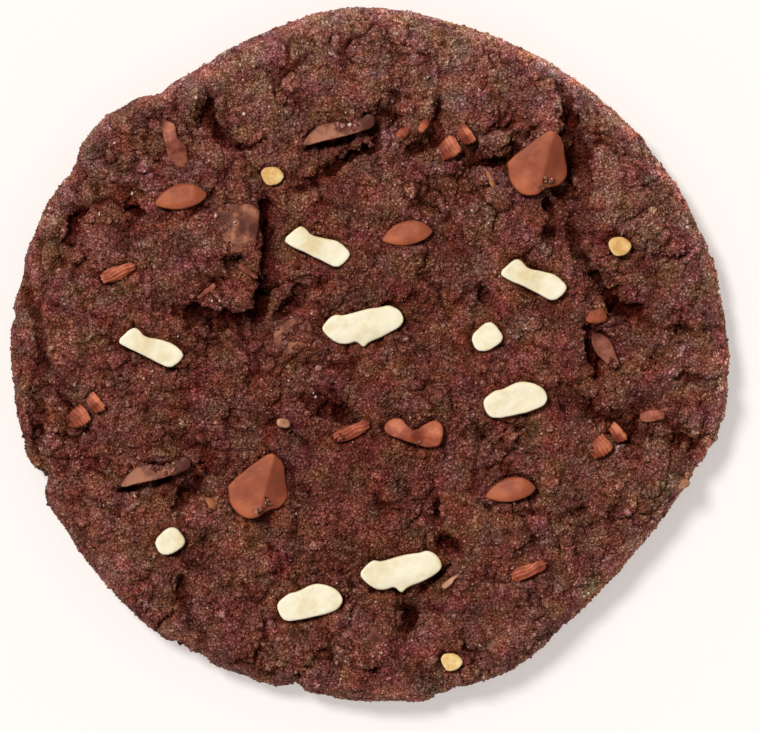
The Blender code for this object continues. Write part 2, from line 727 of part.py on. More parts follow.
def main():
    clear_scene()
    parts = new_collection("Cookie")
    cutters = new_collection("Pockets")
    add_plates(parts, cutters)
    add_pebbles(parts, cutters)
    add_blocks(parts, cutters)
    add_floor_cutter(cutters)
    add_dough(parts, cutters)


main()
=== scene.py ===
"""The looks of a soft chocolate cookie with pieces of white, milk and dark chocolate in it.

Lengths in the tables are millimetres on the cookie: x to the right, y away from the viewer and z up from
the foot. Angles are degrees, anticlockwise from +X.
"""

import json
import math

import bmesh
import bpy
import numpy as np
from mathutils import Matrix, Vector
from mathutils.geometry import convex_hull_2d


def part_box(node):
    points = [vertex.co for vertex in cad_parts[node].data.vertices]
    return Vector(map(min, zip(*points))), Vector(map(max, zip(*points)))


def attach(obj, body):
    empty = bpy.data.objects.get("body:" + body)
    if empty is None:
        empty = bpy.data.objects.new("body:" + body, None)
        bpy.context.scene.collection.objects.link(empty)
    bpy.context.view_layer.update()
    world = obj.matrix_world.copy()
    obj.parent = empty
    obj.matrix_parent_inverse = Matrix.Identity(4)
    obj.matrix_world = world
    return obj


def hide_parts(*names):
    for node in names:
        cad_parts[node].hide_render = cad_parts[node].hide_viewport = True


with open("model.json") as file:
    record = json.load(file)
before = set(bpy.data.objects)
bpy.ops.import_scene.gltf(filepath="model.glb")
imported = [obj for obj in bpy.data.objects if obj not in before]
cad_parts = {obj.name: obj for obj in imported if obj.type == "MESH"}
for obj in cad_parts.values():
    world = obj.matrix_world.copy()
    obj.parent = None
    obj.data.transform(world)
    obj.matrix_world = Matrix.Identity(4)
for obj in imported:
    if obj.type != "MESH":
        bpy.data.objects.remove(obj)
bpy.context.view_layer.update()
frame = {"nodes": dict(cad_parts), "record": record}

MM = 0.001
BODY = "root"
WELD = 0.00001  # metres

# Outline of the cookie from above: angle, radius. A smooth closed curve runs through these.
OUTLINE = (
    (0, 46.2), (14, 45.6), (34, 44.8), (60, 44.1), (75, 43.9), (92, 44.8), (110, 43.8), (127, 43.6),
    (138, 45.9), (152, 45.8), (165, 46.3), (183, 46.2), (198, 46.2), (208, 45.6), (220, 45), (232, 45.3),
    (244, 44.6), (257, 44.2), (270, 44.7), (292, 44.5), (307, 42.9), (323, 42.7), (337, 44.1), (347, 45.9),
)
# Short dents in the outline: angle, half width, depth
NOTCHES = (
    (129, 2, 0.5), (147, 1.6, 0.5), (174, 1, 0.4), (201, 1.6, 1), (237, 2.2, 0.6), (257, 1.8, 0.5),
    (284, 1.6, 0.5), (341, 1.4, 0.4),
)

# The edge in section. Below the widest level it rolls in to the foot, above it over the shoulder.
WIDEST_HEIGHT = 3.4
FOOT_INSET = 3.4
FOOT_DIP = 0.3
EDGE_RELIEF = 0.5  # share of the lumps and cracks that shows on the upright edge
SHOULDER_HEIGHT = 8.4
SHOULDER_INSET = 5.2
SHOULDER_FULLNESS = 2.3
CROWN_RISE = 2.6  # how far the middle stands above the shoulder

# Lumps in the dough: how far across, how high, seed
LUMPS = ((13.0, 0.55, 3), (6.5, 0.5, 5), (3.2, 0.32, 8), (1.9, 0.16, 13))

# Cracks and folds in the top: half width, depth, then the points that the crack runs through
CRACKS = (
    (1, 1.5, (-21.4, 31.6), (-20.4, 29.4), (-18.8, 27.9)),
    (1, 0.9, (-38.1, 22.2), (-33.3, 21.4), (-29.6, 19.6), (-31, 17.3)),
    (0.9, 1.5, (-0.4, 28.9), (1.6, 31), (3.2, 32.7)), (0.6, 0.9, (-1.8, 25.3), (1, 27.2)),
    (0.8, 1.2, (-10.4, 20.4), (-6.6, 22.6), (-3.5, 25.2)), (0.8, 1.2, (5, 25.2), (8.4, 28.3)),
    (0.9, 1.1, (11.6, 26.2), (14.8, 24.9), (17.2, 24.3), (19.2, 28)),
    (0.8, 1.3, (22.6, 15.4), (23.4, 18.4), (24.4, 21.2)),
    (1.4, 1.1, (25.4, 30.4), (26.6, 26.6), (25.6, 21.4)), (0.8, 1.2, (24.6, 34), (26.2, 30.2)),
    (1.1, 1.1, (25.6, 17), (26.8, 13.4), (28.1, 10), (31.4, 6.4), (36, 3.8)),
    (0.8, 0.4, (27.7, 3.2), (28.3, -0.5), (29.8, -4)),
    (1.2, 1.1, (25.7, -6.3), (30.3, -8), (35, -10.2)),
    (0.6, 0.9, (38.6, 3.2), (42, 2.7), (45.2, 3.2)), (0.6, 0.9, (40, -2.9), (43, -3.4), (46.2, -3)),
    (0.7, 1, (36.2, -10.7), (40.4, -11.2), (44.8, -12.6)),
    (1, 1.3, (-24.6, -10.8), (-22, -12.2), (-20.2, -14.4)), (0.9, 1.3, (-24.9, -20), (-22.3, -16.4)),
    (1.2, 1.5, (-24.4, 5.6), (-20.1, 3.8), (-14.2, 4.6), (-13, 9), (-13.2, 19.4)),
    (0.8, 1.1, (-11.9, 5), (-9.4, 7.4), (-6.4, 9.4)), (0.7, 1, (2.6, 5.5), (6, 7.6)),
    (0.9, 1, (-8.6, -6), (-5.2, -7.6), (-1.8, -8.1)),
    (0.9, 0.5, (7.6, -18.8), (9, -22.6), (9.8, -26.2)),
    (0.9, 0.6, (3.4, -37.2), (5.1, -33.3), (6.4, -30.2)), (0.8, 1, (23.6, -21.7), (27.2, -20)),
    (0.7, 0.9, (27, -22.8), (30.8, -21), (32.6, -18.6)), (0.8, 1, (19.2, -26.2), (22.8, -22.5)),
    (0.9, 1.3, (-24.6, -29.4), (-23.4, -33), (-21.5, -36.5), (-21.9, -41)),
    (0.9, 1.2, (-45.6, 11), (-42.8, 3.6), (-42, -0.8), (-43, -8.5), (-42.6, -15.4)),
    (0.8, 1, (-39.6, 24.6), (-37.4, 20.6), (-38.6, 14), (-41.4, 8.6)),
    (0.8, 0.4, (-33.6, 33.6), (-29.4, 30), (-27, 24)),
    (0.7, 0.9, (9, -46), (8.4, -42.6), (6.2, -40.2)),
    (0.7, 0.9, (-10.2, -45), (-9, -41.4), (-6, -38.6)),
)
# Hollows, and mounds where the depth is negative: x, y, half width, depth
HOLLOWS = (
    (-31.4, 19.4, 3.2, 0.9), (14.6, 7.8, 1, 1.2), (4.2, -17.3, 1, 0.8), (-15, 31, 4.5, -0.7),
    (8, 37, 6, -0.6), (-1, 17, 6, -0.5), (34, 20, 5, -0.6), (-22, 10, 6, -0.7),
    (-36, 14, 4, 0.4), (-5, -22, 6, -0.6), (22, 3, 5, -0.4), (14, -30, 5, -0.5),
    (-30, -26, 6, -0.5), (-2, -36, 5, -0.6), (12, -12, 4, 0.4), (-36, -2, 4, -0.5),
    (36, -16, 4, -0.4), (-2.6, -38, 2.6, -0.5),
)

# Narrow gaps in the crumb under and beside the pieces, dark with their depth and with painted shade: half
# width, depth, points
GAPS = (
    (0.35, 1.7, (-8.9, 26.3), (-5.2, 27), (-2, 27.8)),
    (0.35, 1.5, (-32.3, -17.5), (-28.8, -16.9), (-26, -16)),
    (0.32, 1.2, (11.4, 24.2), (14.2, 24.7), (16.8, 24.6), (18.2, 25.6), (20.6, 28.9), (22, 29.8)),
    (0.32, 1.3, (27.8, 3.2), (28, 1.1), (28.7, -1.1), (29.2, -3)),
    (0.4, 1.5, (-13.6, 19.6), (-13.4, 14), (-13.6, 8)),
    (0.45, 1.1, (-23.4, 5.6), (-21, 5.3), (-17.6, 4.7), (-14.4, 4.9), (-13.7, 8)),
    (0.6, 0.6, (-11.4, 4.9), (-10.4, 6.4), (-9.2, 6.6)),
    (0.3, 1, (-13.2, 8.6), (-10, 9.4), (-7.2, 9.8)),
    (0.35, 1.2, (-28.4, 17.6), (-24, 18), (-21, 18.8)),
    (0.3, 0.8, (-21, 12), (-18, 11.9), (-16.4, 12.2)), (0.4, 1.1, (-19.6, 9.2), (-18.8, 7.6)),
    (0.28, 1, (-9.6, 20.8), (-6.4, 22.4), (-3.8, 24.8), (-2, 25.6), (1.2, 26.6)),
    (0.4, 1, (0.6, 27.6), (3.4, 30.6)), (0.5, 0.9, (5.2, 26.2), (8.6, 27.4)),
    (0.6, 1.1, (8.4, 29.6), (8.9, 32.2)),
    (0.4, 1.4, (25.9, 16.6), (26.2, 13.8), (28, 11.4), (29.8, 8.6), (31.2, 6.4)),
    (0.5, 0.8, (31, 6), (34.6, 5.4)), (0.3, 1.1, (22.6, 19.6), (23.4, 17.6), (23, 15.6)),
    (0.5, 0.8, (25.6, 33), (25.2, 30.6), (25.8, 24)), (0.45, 1.5, (4.2, -16.6), (4.6, -17.6)),
    (0.45, 0.6, (14.3, 8.4), (14.8, 7.4)), (0.42, 1.7, (8.2, -19.2), (8.5, -21.2)),
    (0.9, 1.3, (9.2, -24), (10.8, -24.8)), (0.7, 1.6, (4.4, -31), (5.3, -33.4), (4.6, -35.8)),
    (0.45, 0.7, (4.4, -30.6), (6.4, -30)),
    (0.35, 0.9, (-5, -36.6), (-4.4, -37.9), (-0.8, -40.2), (0.8, -41)),
    (0.5, 0.9, (-3.8, -28.4), (-1.8, -30.2)),
    (0.35, 1.1, (-20.9, 33.8), (-20.4, 30.6), (-19.4, 28.2), (-17.8, 26.9), (-15.4, 26.5), (-13.4, 27.6)),
    (0.35, 1.1, (-38.9, 14.4), (-37.8, 17.6), (-35.6, 19.4), (-33.2, 20.3), (-31, 19), (-29.4, 18.4)),
    (1, 0.5, (-7.6, -6.4), (-5.4, -6.6), (-3.4, -7)),
    (0.6, 0.8, (-10.3, -14.6), (-9.9, -18), (-10, -22.8)), (0.6, 0.6, (-13.6, -20.8), (-12.8, -23.4)),
    (0.6, 0.8, (13.2, -9.4), (14, -10.2)), (0.35, 1, (13.6, -18.8), (15.4, -19.8)),
    (0.35, 1.1, (10, -27), (7, -30)),
)

# Crumb on the visible dough: how far across, how high, how deep the creases between lumps are, seed
GRAINS = ((5.2, 0.5, 0.95, 29), (2.6, 0.46, 0.75, 31), (1.3, 0.3, 0.45, 37), (0.7, 0.15, 0.18, 41))
DOUGH_RINGS = 190
DOUGH_TRIANGLES = 196000

# Outlines of the pieces, x and y from each piece's own middle
STICK = (
    (-4.4, 0.9), (-2.3, 2.75), (-1.5, 2.5), (-0.7, 1.45), (1.3, 1.15), (3, 0.65), (4.4, -0.75),
    (3.8, -1.75), (2.5, -2.7), (0.75, -1.8), (-1.6, -0.55), (-3.1, 0),
)
LONG_OVAL = (
    (-5.4, -0.3), (-4.3, 1), (-3.4, 1.5), (-2.7, 1.2), (0.25, 2.1), (2.4, 2.4), (3.4, 2.75), (4.8, 2),
    (5.4, 0.7), (4.7, -0.3), (2.3, -1.5), (0.7, -2.1), (0.1, -2.9), (-0.8, -1.95), (-2, -2.4),
    (-3.2, -2.35), (-4.6, -1.35),
)
SHORT_OVAL = (
    (-4.3, -0.1), (-2.6, 1.25), (-1.8, 1.25), (0.5, 2.4), (2.1, 2.2), (3.6, 1.5), (4.3, 0.2), (3.5, -1),
    (1.5, -1.6), (-1, -2.2), (-3, -2.4), (-3.8, -1.7),
)
DOT = ((-2.2, 0.05), (-0.4, 1.75), (0.8, 1.9), (2.15, 0.15), (1.7, -0.8), (0.1, -1.8), (-1.4, -1.8))
NUB = ((-1.6, 0.5), (-1, 1.2), (0.6, 1.2), (1.6, 0.1), (0.8, -1), (-0.6, -1.25), (-1.2, -0.5))
CHUNK = (
    (-3.75, 0.35), (1, 4.1), (2.2, 4.35), (3.45, 3), (3.6, 0.9), (4.05, -0.95), (3.7, -1.9),
    (2.8, -2.75), (1.9, -2.85), (1.1, -3.1), (0.1, -3.9), (-1.2, -4.1), (-2.2, -3.7), (-3.4, -2.2),
    (-3.65, -0.7),
)
LENS = (
    (-3.65, -0.9), (-2.4, 0.6), (-0.9, 1.55), (0.6, 1.85), (2.1, 1.5), (3.5, 0.35), (2.75, -0.5),
    (1.7, -1.1), (0.2, -1.5), (-1.3, -1.6), (-2.6, -1.3),
)
SMALL_OVAL = (
    (-2.4, -0.3), (-1.7, 0.35), (1.6, 1.4), (2.4, 1.05), (2.2, 0.15), (-0.35, -1.2), (-1.8, -1.5),
    (-2.3, -1),
)
BOAT = (
    (-3.8, 1.1), (-2.9, 1.95), (-1.7, 1.95), (-0.8, 0.9), (0.1, 0.3), (1.3, 1.2), (2.8, 1.8), (3.7, 1.05),
    (3.7, -0.6), (3.2, -1.7), (1.6, -1.85), (-1.4, -0.8), (-3.2, -0.2), (-3.8, 0.45),
)
CURL_LOW = ((-1.7, -0.6), (-0.6, 0.7), (0.35, 1.45), (0.9, 1.1), (1.85, -0.5), (0.75, -1.4), (-0.5, -1.8))
CURL_HIGH = ((-0.9, 0.6), (-0.1, 1.7), (1.55, -0.2), (1.5, -0.8), (0.2, -1.2), (-0.4, -0.6))
WEDGE = (
    (-4.75, -1.9), (-4, -0.6), (-2.4, 0.8), (-0.9, 0.9), (0.8, 0.6), (2.4, 1.2), (3.75, 2.2), (4.65, 1.4),
    (4.35, 0.25), (2.4, -0.35), (0.4, -0.95), (-2, -1.5), (-4.35, -2.1),
)
BURIED = (
    (-4.4, 2.3), (-2.2, 3.3), (1.9, 3.15), (1.75, -0.05), (1.2, -3.2), (-1.05, -3), (-3.9, -3.5),
    (-4.6, -0.9),
)
LOW = ((-3.9, 1.6), (-1, 2.9), (2.6, 2.7), (4, 0.6), (3.2, -2.4), (-0.6, -2.9), (-3.6, -1.4))
SLIVER = (
    (-1.25, 2.4), (-0.3, 2.6), (0.6, 2.1), (0.75, 0.3), (2, -0.5), (2.15, -2), (2.1, -3.8), (1.5, -4.1),
    (0.3, -2.9), (-0.5, -1.8), (-0.9, 0.2),
)
SHARD = (
    (-1.25, 1.35), (-0.15, 1.6), (1.15, 0.7), (1.8, -0.95), (2.4, -2.5), (1.6, -3.2), (0.5, -2.25),
    (-0.6, -1.15), (-1.25, 0.15),
)
SPLINTER = ((-1.35, 0.6), (-1, 1), (1.1, -0.7), (1.35, -1.15), (0.8, -1.1), (-1.2, 0.2))

# Flat faces of a piece's top: a point on it, the way it falls, and how steeply
FLAT_TOP = ((0, 0, 300, 0.06),)
SOFT_TOP = ((0, 0, 300, 0.05), (0, -0.6, 285, 0.25))
CHUNK_FACES = ((1.6, 1.5, 168, 0.12), (1.6, 1.5, 345, 0.6), (-0.9, 2.4, 128, 0.6), (-1.4, -3.1, 235, 0.6))
LENS_FACES = ((0, 0, 150, 0.14), (0, 1.1, 110, 0.55), (0, -0.9, 265, 0.5), (2.2, 0, 10, 0.25))
OVAL_FACES = ((0, 0.3, 115, 0.3), (0, -0.1, 295, 0.4))
BOAT_FACES = ((-0.6, 0.4, 120, 0.3), (0.4, -0.6, 285, 0.35), (2, 0, 60, 0.15))
CURL_FACES = ((0, 0, 130, 0.35), (0.2, -0.2, 310, 0.3))
WEDGE_FACES = ((0.5, -0.6, 112, 0.42), (3, 0.5, 20, 0.3))
BURIED_FACES = ((-1.5, 0, 183, 0.3), (-1.5, 0, 5, 0.1))
LOW_FACES = ((1.5, 1.4, 200, 0.2), (1.5, 1.4, 20, 0.45), (1.5, 1.4, 290, 0.25), (1.5, 1.4, 100, 0.3))

# Lighter and darker patches on a kind of piece, some of them painted highlights: its outline, then x, y,
# radius and how much lighter
TINTS = (
    (CHUNK,
     (-2, -3, 1.3, 0.3), (-3.4, 0.2, 0.7, 0.16), (2, 4, 0.9, 0.16), (3.1, -1.8, 0.9, 0.26),
     (2.6, 1, 1.4, -0.12)),
    (LENS, (-1.6, -1, 1.4, 0.22), (1.6, 0.6, 1.3, 0.1)),
    (WEDGE, (-3, -0.7, 1.6, 0.3), (-0.5, 0, 1.5, 0.14), (3.5, 1, 1.5, -0.2)),
    (CURL_LOW, (0.6, -0.3, 1.2, 0.14), (-1.4, -0.9, 0.9, -0.25)),
    (CURL_HIGH, (0.5, 0.9, 0.7, 0.32), (1.2, 0, 0.6, 0.32), (-0.2, -0.4, 0.8, -0.18)),
    (STICK, (-0.6, 0.6, 1.5, -0.22), (3.6, -1.6, 1.2, 0.15)),
    (BOAT, (-1.9, 0.9, 1.3, 0.2), (2.6, 0.2, 1.3, 0.2), (0.4, -0.3, 1, -0.25)),
    # Painted highlights: small light spots along the dark block's ridge
    (BURIED,
     (0.6, -0.2, 1.8, -0.12), (-0.2, 2.9, 0.8, 0.12), (-1.3, 1.9, 0.4, 0.35), (-1.2, 0.8, 0.45, 0.6),
     (-1.4, 0, 0.3, 0.35), (-1.6, -0.8, 0.35, 0.5), (-3.2, 0.8, 1.4, -0.22), (-3.2, -1.2, 1.4, -0.18)),
    (SMALL_OVAL, (-0.5, -0.4, 1.2, 0.05)),
    (SPLINTER, (0, 0, 2, -0.12)),
    (SLIVER, (-0.3, 1.8, 1, 0.16), (1.3, -2.4, 1.2, 0.2), (0, -0.4, 0.8, -0.12)),
    (SHARD, (0, 0.2, 1.2, 0.22), (1.6, -2.4, 1, 0.05)),
)

CURL = (CURL_FACES, 0, 2, 38)  # what the two halves of a curl share

# Kinds of chocolate piece: the outline, then the faces, how often the outline's corners are cut, how often
# all edges are smoothed and the angle of the streaks, then each one's name, x, y and share of the size
KINDS = (
    (STICK, (FLAT_TOP, 1, 9, None),
     ("White_stick_upper", -6.86, 13.67, 1), ("White_stick_right", 20.85, 9.42, 1.01),
     ("White_stick_left", -28.19, 0.74, 0.99)),
    (LONG_OVAL, (SOFT_TOP, 2, 12, None),
     ("White_oval_middle", -0.97, 3.61, 1), ("White_oval_front", 3.9, -27.89, 1)),
    (SHORT_OVAL, (FLAT_TOP, 2, 12, None),
     ("White_oval_right", 18.58, -5.87, 1), ("White_oval_front_left", -7.73, -31.84, 1.02)),
    (DOT, (FLAT_TOP, 1, 10, None),
     ("White_dot_right", 14.96, 2.19, 1), ("White_dot_left", -25.67, -23.99, 0.96)),
    (NUB, (FLAT_TOP, 1, 5, None),
     ("Gold_bit_upper", -12.51, 22.77, 1), ("Gold_bit_right", 32.02, 13.76, 1),
     ("Gold_bit_front", 10.45, -39.6, 0.95)),
    (CHUNK, (CHUNK_FACES, 1, 4, None),
     ("Milk_chunk_back", 21.29, 24.32, 1), ("Milk_chunk_front", -14.51, -17.03, 1)),
    (LENS, (LENS_FACES, 2, 10, None),
     ("Milk_lens_left", -24.19, 20.12, 1), ("Milk_lens_upper", 4.77, 15.42, 0.98),
     ("Milk_lens_right", 18, -17.48, 0.97)),
    (SMALL_OVAL, (OVAL_FACES, 1, 3, 115),
     ("Milk_oval_left", -32.31, 10.45, 0.96), ("Milk_oval_middle", -2.39, -9.87, 1),
     ("Milk_oval_front", 20.32, -27.8, 0.96)),
    (BOAT, (BOAT_FACES, 1, 3, None), ("Milk_boat", 5.61, -10.19, 1)),
    (CURL_LOW, CURL, ("Milk_cube_back_a", 9.93, 26.64, 1)),
    (CURL_HIGH, CURL, ("Milk_cube_back_b", 12, 27.99, 1)),
    (CURL_LOW, CURL, ("Milk_cube_left_a", -37.56, -7.8, 1)),
    (CURL_HIGH, CURL, ("Milk_cube_left_b", -35.5, -6.45, 1)),
    (CURL_LOW, CURL, ("Milk_cube_right_a", 29.35, -11.61, 1)),
    (CURL_HIGH, CURL, ("Milk_cube_right_b", 31.41, -10.26, 1)),
    (WEDGE, (WEDGE_FACES, 1, 5, None),
     ("Dark_wedge_back", -3.93, 28.77, 1), ("Dark_wedge_left", -27.4, -15.05, 0.98)),
    (BURIED, (BURIED_FACES, 1, 6, None), ("Dark_block", -16.06, 16, 1)),
    (LOW, (LOW_FACES, 1, 6, None), ("Dark_block_front", -1.2, -37.6, 1)),
    (SLIVER, (OVAL_FACES, 1, 4, None), ("Red_sliver", -25.59, 27.34, 1)),
    (SHARD, (FLAT_TOP, 1, 3, None), ("Dark_shard", 29.6, 1.16, 1)),
    (SPLINTER, (FLAT_TOP, 0, 2, None),
     ("Splinter_upper", -15.67, 10.76, 1), ("Splinter_lower", -21.05, 8.2, -0.95)),
)
PIECES = [
    (name, outline, x, y, share, *make)
    for outline, make, *places in KINDS
    for name, x, y, share in places
]
PIECE_DEPTH = 2.4  # how far a piece reaches down from its top
PIECE_REACH = 8.5  # farther from a piece than this, nothing on the dough changes
PIECE_SINK = 0.35  # how far the tops of the pieces lie below those of their nodes
MOAT_WIDTH = 0.35  # the narrow gap in the crumb round a piece
MOAT_DEPTH = 0.65
VOXEL = 0.15  # how fine the large pieces are, and below it the small ones
SMALL_VOXEL = 0.11
UNEVEN = ((1.7, 0.07, 71), (0.8, 0.03, 73))  # how far across, how high, seed
SMALL_UNEVEN = ((1.1, 0.25, 71), (0.55, 0.11, 73))
STREAK_WIDTH = 0.5

# Crumbs that lie on pieces: node, then x and y on the cookie, radius and how many
DUSTED = (
    ("Dark_block",
     (-20.4, 18, 1.2, 40), (-20.6, 15.4, 1.1, 36), (-20.2, 13, 1.3, 50), (-18.6, 19, 0.8, 16),
     (-18.9, 16.4, 0.8, 12), (-15, 13.8, 0.7, 8), (-18.4, 12.8, 0.7, 12)),
    ("Dark_block_front",
     (-3.6, -37.4, 2, 110), (-1.8, -39.2, 1.9, 100), (0.6, -39.4, 1.7, 80), (2.3, -38, 1.3, 50),
     (-1.6, -37.2, 1.5, 60), (-1.4, -35.4, 1.2, 40), (1.8, -35.4, 0.8, 16)),
    ("Milk_chunk_back", (22.7, 22.2, 0.7, 16), (21.9, 21.4, 0.6, 10), (22.4, 23, 0.4, 4)),
    ("Milk_chunk_front", (-13, -19.1, 0.7, 16), (-13.9, -20, 0.6, 10), (-13.4, -18.4, 0.4, 4)),
    ("Dark_wedge_back", (-4, 29.4, 0.8, 16), (-2.2, 29.4, 0.9, 18)),
    ("Dark_wedge_left", (-27.4, -14.4, 0.8, 16), (-25.6, -14.4, 0.9, 18)),
    ("Milk_cube_back_a", (8.3, 25.8, 0.8, 7)),
    ("Milk_cube_left_a", (-39.2, -8.6, 0.9, 10)),
    ("Milk_cube_right_a", (27.6, -12.4, 0.9, 10)),
    ("Dark_pebble", (-9.7, 2.3, 2.4, 90)),
    ("Dark_shard", (31.3, -1.3, 0.9, 9)),
    ("Milk_boat", (6.2, -11.3, 0.7, 6)),
    ("Milk_oval_middle", (-4.2, -10.8, 0.7, 6)),
)

# The smallest bits have six points, one each way along x, y and z, and these faces
EIGHT_SIDES = ((0, 2, 4), (2, 1, 4), (1, 3, 4), (3, 0, 4), (2, 0, 5), (1, 2, 5), (3, 1, 5), (0, 3, 5))

# Scattered crumb: how many, least and most across, divisions of its round form, how clear of the pieces it
# stays, how far up its ground faces, roughness, how deep it sinks, unevenness of tone
CRUMB = (
    ("Crumb_grit", 20000, 0.2, 0.55, 0, -0.05, -0.5, 0.4, 0.36, 0.18),
    ("Crumb_bits", 8000, 0.36, 0.78, 1, 0.1, -0.2, 0.3, 0.42, 0.2),
    ("Crumb_lumps", 900, 0.7, 1.3, 2, 0.45, 0.55, 0.14, 0.45, 0.18),
)
TRIES = 2.4  # places drawn for each one that is wanted
SEED = 2024
SUGAR = (190, 0.22, 0.4)  # how many, and the least and most across
BRIGHT_SIZE = 0.6
BRIGHT_TONE = 0.75
# Pale specks of sugar; the one at (-17.4, 16.9) sits on the dark block's ridge as a painted highlight
BRIGHT_SPECKS = (
    (-22.4, 32.9), (-16.7, 37.1), (-16.2, 30.8), (-39.3, 22.2), (-41.3, 18.7), (-30.6, 20.6), (-34.8, 17.9),
    (-19.8, 17.7), (-7, -5.5), (1.4, -38.3), (-20.3, 6.8), (-19.3, 6.8), (-2.6, 29.3), (-17.4, 16.9),
)

# Colours in linear light along the dough's speckle, and by how much its wider patches, its clods, the gaps
# between its grains and its hollows and high places change that colour. The gaps and hollows are painted
# shade, and the high places and the rim painted light.
SPECKLE = (
    (0.28, (0.094, 0.012, 0.004)), (0.44, (0.186, 0.052, 0.031)), (0.55, (0.272, 0.097, 0.066)),
    (0.67, (0.395, 0.18, 0.134)), (0.8, (0.6, 0.37, 0.3)),
)
PATCHES = ((0.34, (0.68, 0.57, 0.54)), (0.66, (1.28, 1.37, 1.41)))
CLODS = ((0.34, (0.66, 0.53, 0.48)), (0.66, (1.32, 1.42, 1.47)))
GRAIN_GAP_SHADE = ((0.0, (0.56, 0.43, 0.38)), (0.11, (0.9, 0.89, 0.89)), (0.3, (1.08, 1.07, 1.07)))
HOLLOW_SHADE = (
    (0.0, (0.19, 0.06, 0.03)), (0.2, (0.5, 0.33, 0.27)), (0.413, (0.96, 0.95, 0.95)),
    (0.667, (1.31, 1.42, 1.49)), (1.0, (2.5, 2.75, 2.65)),
)
STAIN = (0.23, 0.068, 0.026)  # the dough by white chocolate
HUE_WANDER = 0.9  # how far red, green and blue wander apart

# Colours in linear light for each finish of the frame's nodes: dark, middle, light and edge, the edge being
# painted shade on a piece's lower sides, then the roughness and how clouded the colour is
FINISHES = {
    "white": ((0.76, 0.62, 0.36), (0.9, 0.82, 0.6), (0.95, 0.9, 0.72), (0.52, 0.27, 0.09), 0.42, 0.6),
    "gold": ((0.62, 0.34, 0.11), (0.8, 0.52, 0.2), (0.92, 0.74, 0.38), (0.3, 0.12, 0.04), 0.55, 1.2),
    "milk": ((0.23, 0.056, 0.026), (0.3, 0.073, 0.034), (0.44, 0.12, 0.05), (0.2, 0.034, 0.016), 0.45, 0.5),
    "milk_pale": (
        (0.17, 0.03, 0.016), (0.3, 0.065, 0.03), (0.56, 0.17, 0.086), (0.17, 0.034, 0.016), 0.5, 1.0,
    ),
    "red": ((0.15, 0.037, 0.022), (0.29, 0.08, 0.048), (0.46, 0.16, 0.092), (0.1, 0.024, 0.015), 0.55, 1.3),
    "amber": ((0.22, 0.065, 0.025), (0.34, 0.115, 0.045), (0.5, 0.21, 0.1), (0.18, 0.05, 0.02), 0.55, 1.2),
    "tan": ((0.26, 0.1, 0.055), (0.4, 0.18, 0.1), (0.62, 0.34, 0.21), (0.18, 0.06, 0.03), 0.6, 1.2),
    "dark": (
        (0.095, 0.028, 0.018), (0.195, 0.064, 0.038), (0.38, 0.15, 0.085), (0.05, 0.016, 0.011), 0.5, 1.5,
    ),
    "dark_red": (
        (0.09, 0.022, 0.014), (0.17, 0.046, 0.03), (0.3, 0.1, 0.065), (0.05, 0.016, 0.011), 0.5, 1.5,
    ),
}
SUGAR_COLOURS = ((0.0, (0.3, 0.15, 0.1)), (1.0, (0.8, 0.58, 0.46)))

# The camera looks straight down. The photograph's middle lies a little right of and below the cookie's.
VIEW_CENTRE = (1.23, -1.48)
VIEW_WIDTH = 98.0  # across the picture, at the cookie's widest level
VIEW_DISTANCE = 1200.0
SENSOR = 36.0

FLOOR_SIDE = 3.0  # metres
FLOOR_COLOUR = (0.546, 0.519, 0.498)
FLOOR_GLOW = (1.0, 0.947, 0.907)
FLOOR_GLOW_STRENGTH = 0.443
SKY_COLOUR = (1.0, 0.99, 0.985)
SKY_STRENGTH = 0.38
SUN_COLOUR = (1.0, 0.985, 0.965)
SUN_STRENGTH = 2.6
SUN_WIDTH = 15  # degrees
SUN_HEIGHT = 60  # degrees above the floor, from the upper left


def add_object(name, data):
    """A new object in the scene."""
    made = bpy.data.objects.new(name, data)
    bpy.context.scene.collection.objects.link(made)
    return made


def as_mesh(form, name):
    """A form as a new mesh."""
    mesh = bpy.data.meshes.new(name)
    form.to_mesh(mesh)
    form.free()
    return mesh


def bell(far):
    """Falls smoothly from 1 at no distance to nothing."""
    return np.exp(-(far**2))


def smooth_closed(points, at):
    """A smooth closed curve through (degrees, value) points, read at some degrees."""
    angle, value = np.array(points, float).T
    angle = np.concatenate([angle[-2:] - 360, angle, angle[:2] + 360])
    value = np.concatenate([value[-2:], value, value[:2]])
    slope = np.gradient(value, angle)
    low = np.clip(np.searchsorted(angle, at, side="right") - 1, 0, len(angle) - 2)
    span = angle[low + 1] - angle[low]
    t = (at - angle[low]) / span
    start = (1 + 2 * t) * (1 - t) ** 2 * value[low] + t * (1 - t) ** 2 * span * slope[low]
    end = t * t * (3 - 2 * t) * value[low + 1] + t * t * (t - 1) * span * slope[low + 1]
    return start + end


def outline_radius(angle):
    """The cookie's radius at some angles in radians."""
    degrees = np.degrees(angle) % 360
    radius = smooth_closed(OUTLINE, degrees)
    for where, half_width, depth in NOTCHES:
        away = (degrees - where + 180) % 360 - 180
        radius = radius - depth * bell(away / half_width)
    return radius


def lumps(points, across, seed):
    """Smooth noise from -1 to 1 in space, with lumps about this far across."""
    size = 48
    table = np.random.default_rng(seed).uniform(-1, 1, (size, size, size))
    place = points / across + size / 2 + 0.37 * seed
    cell = np.floor(place).astype(int)
    part = place - cell
    part = part * part * (3 - 2 * part)
    total = 0.0
    for corner in np.ndindex(2, 2, 2):
        at = (cell + corner) % size
        weight = np.prod(np.where(corner, part, 1 - part), axis=-1)
        total = total + weight * table[at[..., 0], at[..., 1], at[..., 2]]
    return total


def layered(points, layers):
    """Lumps of several sizes on each other: how far across, how high, seed."""
    return sum(height * lumps(points, across, seed) for across, height, seed in layers)


